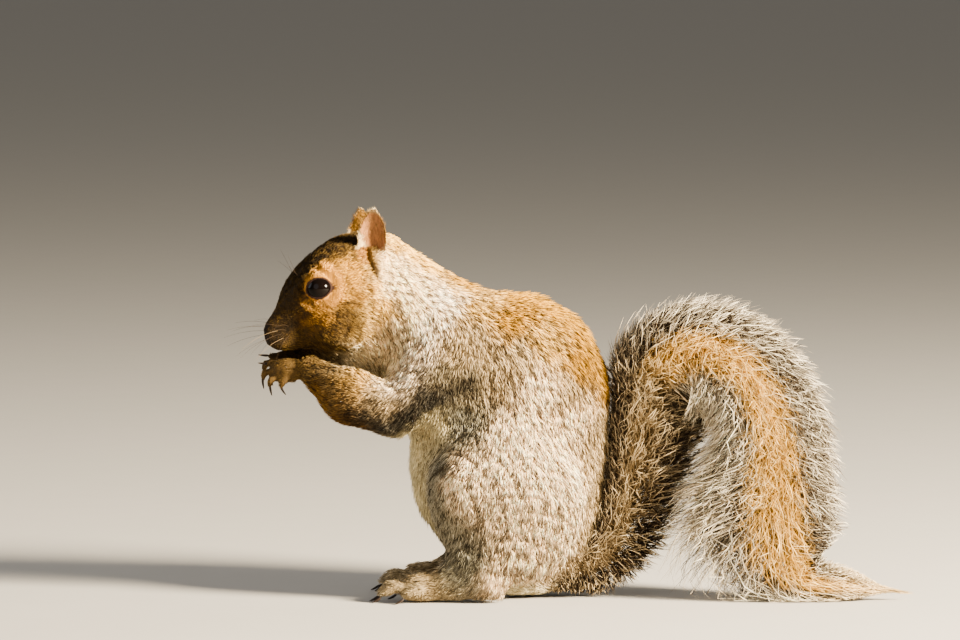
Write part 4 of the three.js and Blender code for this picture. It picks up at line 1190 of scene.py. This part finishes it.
def in_tail(share, angle, reach):
    """A place in the tail, from shares of its length and of the hair's reach, and the angle between.

    Also gives how far out of the bend that is, from 1 outside to -1 inside, and the tail's heading."""
    station, heading, out, across = tail_frame(share)
    limit, far = hair_limit(station, angle)
    c, s = np.cos(angle), np.sin(angle)
    root = station[:, 6] * ROOT_SHARE * smooth(1.0, 0.94, share)
    distance = root + (limit - root) * reach
    place = station[:, :3] + distance[:, None] * (c[:, None] * out + s[:, None] * across)
    return place, distance * c / far, heading


def gathered(values, clump, pull):
    """Draws values towards the middle of the clump that each belongs to."""
    _, index = np.unique(clump, return_inverse=True)
    middle = np.bincount(index, values) / np.bincount(index)
    return values + pull * (middle[index] - values)


print("colours in the tail:", len(TAIL_FUR))


# %% The colour of the tail's hair
def tail_tint(t, at_share, reach, side_share, blotch, pale_hair, angle):
    """Colours at a share t of the hairs: golden near the bone, then black, with pale tips."""
    band = np.abs(side_share) * np.where(side_share > 0, 1.0, 1.15) + blotch
    rising = smooth(0.44, 0.34, at_share)[:, None]
    middle = mixed(TAIL_FUR["rust"], TAIL_FUR["brown"], rising)
    tint = mixed(TAIL_FUR["black"], middle, smooth(0.43, 0.27, band)[:, None])
    tip = smooth(0.3, 0.85, t - 0.1 * np.cos(angle))
    faint = 0.3 * tip * smooth(0.75, 1, t)
    pale = np.where(pale_hair, tip * (0.55 + 0.45 * smooth(0.5, 0.7, band)), faint)
    pale_tone = np.where((band < 0.38)[:, None], TAIL_FUR["cream"], TAIL_FUR["white"])
    tint = mixed(tint, mixed(pale_tone, TAIL_FUR["grey"], rising), pale[:, None])
    end = 0.75 * smooth(0.88, 0.98, at_share) * smooth(0.2, 0.7, t)
    tint = mixed(tint, TAIL_FUR["grey"], end[:, None])
    # near the bone the hair is painted up to half as dark, as painted shade deep inside the tail
    return tint * (0.5 + 0.5 * smooth(0.0, 0.5, reach)[:, None])


TAIL_COAT = {
    # piece: from and to (share of the length), locks, slot
    "tail_hair_base": (0.0, 0.24, 10500, "coat_grizzled"),
    "tail_hair_rise": (0.24, 0.39, 9000, "coat_grizzled"),
    "tail_hair_bend": (0.39, 0.56, 12000, "coat_rust"),
    "tail_hair_fall": (0.56, 0.73, 12000, "coat_rust"),
    "tail_hair_foot": (0.73, 1.0, 6000, "coat_rust"),
}
HAIR_STEPS = (0, 0.36, 0.72, 1)  # shares of a hair's length where it has a root, two rings and a tip
WOOL = 0.34  # the share of hairs that are the shorter wool under the long ones, with no pale tips and painted darker as shade near the bone
CLUMP = 3.4  # mm
HAIR_WIDTH, RING_WIDTHS = 0.33, np.array([1.0, 0.85])  # mm, and the share of it at each ring
SLOPE_LIMITS = (16, 112)  # degrees from the tail's line; past 90 a hair leans back to the rump
print("hairs in the tail:", sum(row[2] for row in TAIL_COAT.values()))

# %% Grow the tail's hair
for number, (name, (first, last, count, slot)) in enumerate(TAIL_COAT.items()):
    rng = np.random.default_rng(1500 + number)
    share = first + (last - first) * (np.arange(count) + rng.random(count)) / count
    angle = rng.uniform(0, 2 * math.pi, count)
    angle = angle - 0.3 * np.sin(2 * angle)  # most hair grows to the two sides of the bend
    c = np.cos(angle)
    wool = rng.random(count) < WOOL
    inner = np.where(wool, rng.uniform(0.0, 0.25, count), rng.uniform(0.12, 0.55, count))
    outer = np.where(wool, rng.uniform(0.5, 0.86, count),
                     np.clip(rng.normal(0.95, 0.13, count), 0.7, 1.22))
    station = tail_at(share)
    limit, _ = hair_limit(station, angle)
    spot = np.stack([share * TAIL_SPAN, angle * TAIL_GIRTH, inner * 20], -1)

    # how far each hair leans along the tail, and the clump that its tip is drawn into
    slope = 34 + 20 * c**2 + 7 * ripple(spot, 9, 5) + rng.normal(0, 11, count)
    slope += 52 * smooth(0.26, 0.08, share) * smooth(0.3, -0.4, c)  # at its root the hair fans down
    slope = np.radians(np.clip(slope, *SLOPE_LIMITS))
    run = (outer - inner) * limit / np.tan(slope) / TAIL_SPAN
    end_share = np.minimum(share + run, 1.0 + 0.05 * rng.random(count))
    end_angle = angle + rng.normal(0, 0.16, count)
    clump = (end_share * TAIL_SPAN / CLUMP).astype(int) * 1000
    clump += (end_angle * TAIL_GIRTH / CLUMP).astype(int)
    pull = np.where(wool, 0.0, rng.uniform(0.1, 0.75, count))
    end_share, end_angle = gathered(end_share, clump, pull), gathered(end_angle, clump, pull)

    # waves, tone and pale tips, each hair with its own
    curl = rng.normal(0, 0.13, (count, 2)) + 0.06 * ripple(spot, 6, 9)[:, None]
    bow = rng.normal(0.05, 0.05, count)
    tone = np.exp(rng.normal(0, 0.2, count))[:, None]
    pale_share = (0.46 - 0.24 * c) * smooth(0.24, 0.5, share) + 0.33 * smooth(0.5, 0.24, share)
    pale_hair = ~wool & (rng.random(count) < pale_share)
    blotch = 0.07 * rng.normal(size=count) + 0.05 * ripple(spot, 8, 19)
    steps, tints = [], []
    for t in HAIR_STEPS:
        arch = math.sin(math.pi * t)
        at_share = share + (end_share - share) * t**0.85
        at_angle = angle + (end_angle - angle) * t
        at_angle += curl[:, 0] * arch + curl[:, 1] * math.sin(2 * math.pi * t)
        reach = inner + (outer - inner) * t + bow * arch
        reach *= 1 - 0.78 * smooth(0.95, 1.02, at_share)  # the last hairs close to a brush's point
        place, side_share, heading = in_tail(np.clip(at_share, 0, 1), at_angle, reach)
        steps.append(place + heading * (np.maximum(at_share - 1, 0) * TAIL_SPAN)[:, None])
        tints.append(tail_tint(t, at_share, reach, side_share, blotch, pale_hair, angle) * tone)
    path = np.stack(steps, 1)
    path[..., 2] = np.where(path[..., 2] < 1.2, 0.4 + 0.8 * rng.random((count, 1)), path[..., 2])

    forward = unit(path[:, 2:] - path[:, :-2])
    beside = unit(np.cross(forward, unit(path[:, 1:-1] - station[:, None, :3])))
    width = HAIR_WIDTH * np.exp(rng.normal(0, 0.22, (count, 1))) * RING_WIDTHS
    cells = cells_of(share, angle)
    piece = locks(name, path, width, beside, np.cross(beside, forward), np.stack(tints, 1), cells)
    coat_pieces.append(piece)
    print(f"{name}: {count} hairs")
print("tail grown", clock())

# %% [markdown]
# ## Eyes, claws and whiskers
#
# A squirrel's eye is a ball of which the lids show little more than the dark iris and pupil, so each
# eye here is a whole ball, seated in its lids with its edge hidden. The ball is made from rings of
# points, evenly enough for a clean highlight. A lens bulge could be added, but at this size the
# highlight doesn't show one.

# %% Eyes
# A ball is a tube that widens and closes again. Its two poles are above and below, under the lids.
ROWS, COLUMNS = 32, 48
polar = np.linspace(0, math.pi, ROWS + 1)[1:-1]
x_way, y_way, z_way = (np.tile(way, (len(polar), 1)) for way in np.eye(3))
levels = z_way * np.cos(polar)[:, None]
poles = np.array([(0, 0, 1), (0, 0, -1)])
ball_points, ball_faces = tube(levels, np.sin(polar), x_way, y_way, COLUMNS, poles)
eye_pieces = []
for side, sign in SIDES.items():
    name = f"eyeball_{side}"
    centre = turned(EYE_STRAIGHT * (1, -sign, 1), HEAD_TURN)
    eyeball = make_object(name, make_mesh(name, to_model(ball_points * EYE_RADIUS + centre), ball_faces))
    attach(eyeball, "root")
    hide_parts(f"eye_{side}")
    eye_pieces.append(eyeball)
print("eyes:", 2 * EYE_RADIUS, "mm across, of which the lids show", 2 * LID_OPENING[0], "mm")

# %% [markdown]
# Claws are horn sheaths that grow out of the last bone of each digit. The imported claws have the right
# curve and place, so they are rounded by subdivision and carried back into the flesh, as a real
# claw is rooted. They could be modelled afresh, but then they might leave the places that the solids
# agree with.

# %% Claws
# how much longer, and how much more slender, each claw is than its solid
ROOTED = {"hand": (1.3, 0.85), "foot": (0.9, 0.72)}
skin_tree = BVHTree.FromPolygons(skin.tolist(), skin_faces.tolist())
claw_pieces = []
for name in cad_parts:
    if "_claw_" in name:
        points, faces = swollen(name, 0)
        points = to_animal(points)
        _, _, axes = np.linalg.svd(points - points.mean(0), full_matrices=False)
        along = (points - points.mean(0)) @ axes[0]
        ends = [skin_tree.find_nearest(points[n])[3] for n in (along.argmin(), along.argmax())]
        tip = along.max() if ends[1] > ends[0] else along.min()
        longer, slender = ROOTED["hand" if name.startswith("finger") else "foot"]
        middle = points.mean(0) + along[:, None] * axes[0]
        points = middle + (points - middle) * slender + ((along - tip) * (longer - 1))[:, None] * axes[0]
        piece = make_object(name.replace("claw", "nail"), make_mesh(name, to_model(points), faces))
        smoothing = piece.modifiers.new("rounded", "SUBSURF")
        smoothing.levels = smoothing.render_levels = 2
        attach(piece, "root")
        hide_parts(name)
        claw_pieces.append(piece)
print("claws:", len(claw_pieces))

# %% [markdown]
# Whiskers are single stiff hairs, each thick at its root and fine at its tip, that droop a little
# under their own weight. They stand in rows on the pads of the upper lip, with two over each eye.
# A curve with a bevel would draw them as well, but a tapered tube is solid from the start.

# %% Whiskers
# On each side, from the pad of the lip: place, direction and length in mm.
WHISKERS = [
    ((-98.5, -5.6, 118.5), (-0.62, -0.75, 0.02), 34), ((-97.0, -6.6, 117.2), (-0.55, -0.82, -0.06), 38),
    ((-95.4, -7.6, 118.8), (-0.45, -0.88, 0.06), 42), ((-99.5, -4.8, 116.4), (-0.7, -0.66, -0.1), 28),
    ((-96.2, -6.9, 115.4), (-0.5, -0.83, -0.18), 33), ((-94.0, -8.2, 116.5), (-0.3, -0.92, -0.12), 40),
    ((-98.0, -5.8, 120.3), (-0.6, -0.76, 0.16), 30), ((-94.6, -7.8, 120.6), (-0.35, -0.9, 0.18), 36),
    ((-91.0, -6.5, 143.4), (-0.42, -0.5, 0.75), 15), ((-90.2, -7.6, 142.6), (-0.52, -0.55, 0.62), 13),
]
ON_LIP = 8  # the first eight; the other two stand over the eye
DARK_WHISKER, PALE_WHISKER = linear("#2b2118"), linear("#6e5c42")
whisker_tubes, whisker_tints = [], []
rng = np.random.default_rng(88)
t = np.linspace(0, 1, 12)
for sign in SIDES.values():
    for number, (place, way, length) in enumerate(WHISKERS):
        place, way = np.array(place), unit(np.array(way) + rng.normal(0, 0.05, 3))
        droop = np.array([0.06, 0, -0.16]) * length
        line = place + way * (t[:, None] * length) + droop * t[:, None] ** 2
        line = turned(line * (1, -sign, 1), HEAD_TURN)
        radius = (0.055 if number < ON_LIP else 0.045) * (1 - t) ** 0.7 + 0.015
        heading = unit(np.gradient(line, axis=0))
        first = unit(np.cross(heading, [0, 0.3, 1]))
        whisker_tubes.append(tube(line, radius, first, np.cross(heading, first), around=5))
        tone = PALE_WHISKER if number % 4 == 0 and number < ON_LIP else DARK_WHISKER
        whisker_tints.append(np.tile(tone, (len(whisker_tubes[-1][0]), 1)))
whisker_points, whisker_faces = stacked(whisker_tubes)
whisker_mesh = make_mesh("whiskers", to_model(whisker_points), whisker_faces)
whiskers = make_object("whiskers", whisker_mesh)
paint_points(whisker_mesh, np.vstack(whisker_tints))
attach(whiskers, "root")
print("whiskers:", len(whisker_tubes))

# %% [markdown]
# ## Materials
#
# Hair, hide, horn and a wet eye each meet the light in their own way. The markings are already painted
# on the points of the skin and the locks, so the fur materials read that paint and only add the small
# differences from hair to hair. Noise does that, scaled in real millimetres.

# %% Making a material
PER_MM = 1000  # object space is in metres, so a pattern of so many mm has the scale PER_MM / mm


def material(name):
    made = bpy.data.materials.new(name)
    made.use_nodes = True
    made.node_tree.nodes.clear()
    return made


def add(tree, kind, settings=None, **inputs):
    """Adds a node, with its settings, and its inputs as values or as sockets to link.

    An input is named, or is i and its number where names repeat."""
    node = tree.nodes.new(kind)
    for key, value in (settings or {}).items():
        setattr(node, key, value)
    for key, value in inputs.items():
        numbered = key[0] == "i" and key[1:].isdigit()
        socket = node.inputs[int(key[1:])] if numbered else node.inputs[key.replace("_", " ")]
        if isinstance(value, bpy.types.NodeSocket):
            tree.links.new(value, socket)
        else:
            socket.default_value = value
    return node


def rgba_of(code):
    return (*linear(code), 1)


def noise(tree, size_mm, detail=2.0, stretch=(1, 1, 1)):
    """Soft noise in the piece's own space, with a pattern of about that size."""
    place = add(tree, "ShaderNodeTexCoord")
    stretched = add(tree, "ShaderNodeMapping", Vector=place.outputs["Object"], Scale=stretch)
    grain = add(tree, "ShaderNodeTexNoise", Vector=stretched.outputs[0], Scale=PER_MM / size_mm,
                Detail=detail)
    return grain.outputs["Fac"]


def ranged(tree, value, low, high, from_low=0.0, from_high=1.0):
    """A value carried from one range to another."""
    made = add(tree, "ShaderNodeMapRange", Value=value, From_Min=from_low, From_Max=from_high, To_Min=low,
               To_Max=high)
    return made.outputs[0]


def scaled(tree, colour, share):
    return add(tree, "ShaderNodeVectorMath", {"operation": "SCALE"}, i0=colour, i3=share).outputs[0]


def painted(tree):
    """The colours painted on the points of the coat and the skin."""
    coat = add(tree, "ShaderNodeAttribute", {"attribute_name": "coat", "attribute_type": "GEOMETRY"})
    return coat.outputs["Color"]


def between(tree, share, first, second):
    blend = add(tree, "ShaderNodeMix", {"data_type": "RGBA"}, i0=share, i6=rgba_of(first), i7=rgba_of(second))
    return blend.outputs[2]


def surface(tree, **inputs):
    shader = add(tree, "ShaderNodeBsdfPrincipled", **inputs)
    add(tree, "ShaderNodeOutputMaterial", Surface=shader.outputs[0])


print("a pattern of 1 mm has the scale", PER_MM)


# %% Fur
def fur_material(name, roughness, grain_mm, grain_share):
    """Painted fur. A hair is 0.05 mm thick, so the grain is drawn coarser, to show."""
    made = material(name)
    tree = made.node_tree
    grain = noise(tree, grain_mm)
    tone = ranged(tree, grain, 1 - grain_share, 1 + grain_share, 0.3, 0.7)
    rough = ranged(tree, grain, roughness - 0.08, roughness + 0.08)
    surface(tree, Base_Color=scaled(tree, painted(tree), tone), Roughness=rough, IOR=1.5,
            Specular_IOR_Level=0.05)
    return made


# guard_hair: the stiff outer hairs of the body, dull, with hardly any shine, so the ticking reads
# tail_hair: longer and silkier hair, which catches a little more light along its length
guard_hair = fur_material("guard_hair", 0.72, 1.2, 0.12)
tail_hair = fur_material("tail_hair", 0.55, 1.6, 0.1)
for piece in coat_pieces:
    piece.data.materials.append(tail_hair if piece.name.startswith("tail") else guard_hair)
whiskers.data.materials.append(guard_hair)
print("pieces of fur:", len(coat_pieces))

# %% Hide
# haired_hide: skin under fine down, matt, streaked up and down as most of the hair lies, so that
# gaps in the coat look furred. Down is 0.03 mm thick; its streaks are drawn 0.9 mm apart, to show.
hide = material("haired_hide")
tree = hide.node_tree
down = noise(tree, 0.9, detail=3.0, stretch=(1, 1, 0.3))
tone = ranged(tree, down, 0.7, 1.25, 0.35, 0.65)
bump = add(tree, "ShaderNodeBump", Strength=0.5, Distance=0.3 * MM, Height=down)
surface(tree, Base_Color=scaled(tree, painted(tree), tone), Roughness=0.8, Specular_IOR_Level=0.08,
        Normal=bump.outputs[0])
skin_piece.data.materials.append(hide)
print("nodes in the hide:", len(tree.nodes))

# %% Eyes and claws
# wet_eye: a clear wet film over an iris that is nearly black, for one small sharp highlight
wet_eye = material("wet_eye")
tree = wet_eye.node_tree
iris = scaled(tree, tuple(linear("#070403")), ranged(tree, noise(tree, 1.5), 0.5, 1.5))
surface(tree, Base_Color=iris, Roughness=0.05, IOR=1.34, Specular_IOR_Level=0.15)
for piece in eye_pieces:
    piece.data.materials.append(wet_eye)

# claw_horn: dark brown horn with faint streaks and a low satin shine
claw_horn = material("claw_horn")
tree = claw_horn.node_tree
horn = between(tree, noise(tree, 0.8), "#0e0906", "#2c2017")
surface(tree, Base_Color=horn, Roughness=0.5, Specular_IOR_Level=0.15)
for piece in claw_pieces:
    piece.data.materials.append(claw_horn)
print("eyes and claws covered:", len(eye_pieces) + len(claw_pieces))

# %% [markdown]
# ## Floor, light and camera
#
# The model sits on a wide sheet of pale paper that runs out of sight. One warm lamp to the right of
# the camera does the work of a low sun through a curtain. Two weak lamps, on the left and in front,
# keep the shaded face and chest readable, and a faint one behind lifts the outline off the ground.

# %% Floor
FLOOR_HALF = 20.0  # m
floor_corners = np.array([(-1, -1, 0), (1, -1, 0), (1, 1, 0), (-1, 1, 0)]) * FLOOR_HALF
floor = make_object("floor", make_mesh("floor", floor_corners, np.array([[0, 1, 2, 3]])))
# studio_paper: matt pale card with a barely visible fibre, so shadows fall on something plain
paper = material("studio_paper")
tree = paper.node_tree
# fibres are much finer; they are drawn as a mottle 25 mm across, to show at all
card = between(tree, noise(tree, 25, detail=3.0), "#a39e95", "#a7a299")
surface(tree, Base_Color=card, Roughness=0.9)
floor.data.materials.append(paper)
print("floor, m across:", 2 * FLOOR_HALF)

# %% Light
world = bpy.data.worlds.new("studio")
world.use_nodes = True
sky = world.node_tree.nodes["Background"]
sky.inputs["Color"].default_value = rgba_of("#dddad4")
sky.inputs["Strength"].default_value = 0.4
bpy.context.scene.world = world

LAMPS = {
    # name: the way to it from the animal, distance and width in m, watts, colour
    "key": ((0.86, -0.5, 0.38), 1.6, 0.42, 400, "#ffeed1"),
    "fill": ((-0.5, -0.9, 0.35), 1.9, 1.4, 11, "#f9f9ff"),
    "front": ((-0.93, 0.12, 0.34), 1.8, 1.2, 15, "#f9f9ff"),
    "rim": ((0.7, 0.8, 0.8), 1.6, 0.6, 6, "#fff8ec"),
}
chest = Vector(to_model((0, 0, 70)))
for name, (way, distance, size, watts, colour) in LAMPS.items():
    data = bpy.data.lights.new(name, "AREA")
    data.shape, data.size, data.energy, data.color = "DISK", size, watts, linear(colour)
    lamp = bpy.data.objects.new(name, data)
    bpy.context.scene.collection.objects.link(lamp)
    way = Vector(way).normalized()
    lamp.location = chest + way * distance
    lamp.rotation_euler = way.to_track_quat("Z", "Y").to_euler()
print("lamps:", len(LAMPS))

# %% [markdown]
# The camera looks from the animal's left, four degrees above level, through a long lens, as a
# person at a distance would watch a wild squirrel.

# %% Camera
ELEVATION = math.radians(4)
DISTANCE = 3.0  # m
WIDTH_SEEN = 0.4224  # m, at the animal
SENSOR = 36  # mm
camera_data = bpy.data.cameras.new("camera")
camera_data.sensor_width = SENSOR
camera_data.lens = SENSOR * DISTANCE / WIDTH_SEEN
camera_data.clip_end = 100
camera = bpy.data.objects.new("camera", camera_data)
bpy.context.scene.collection.objects.link(camera)
aim = Vector(to_model((-8.8, 0, 122.2)))
camera.location = aim + DISTANCE * Vector((0, -math.cos(ELEVATION), math.sin(ELEVATION)))
camera.rotation_euler = (math.pi / 2 - ELEVATION, 0, 0)
bpy.context.scene.camera = camera
print("lens, mm:", round(camera_data.lens, 1))

# %% Sizes
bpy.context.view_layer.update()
meshes = [obj.data for obj in bpy.context.scene.objects if obj.type == "MESH"]
total = sum(len(mesh.loops) - 2 * len(mesh.polygons) for mesh in meshes)
print("triangles in all:", total, clock())
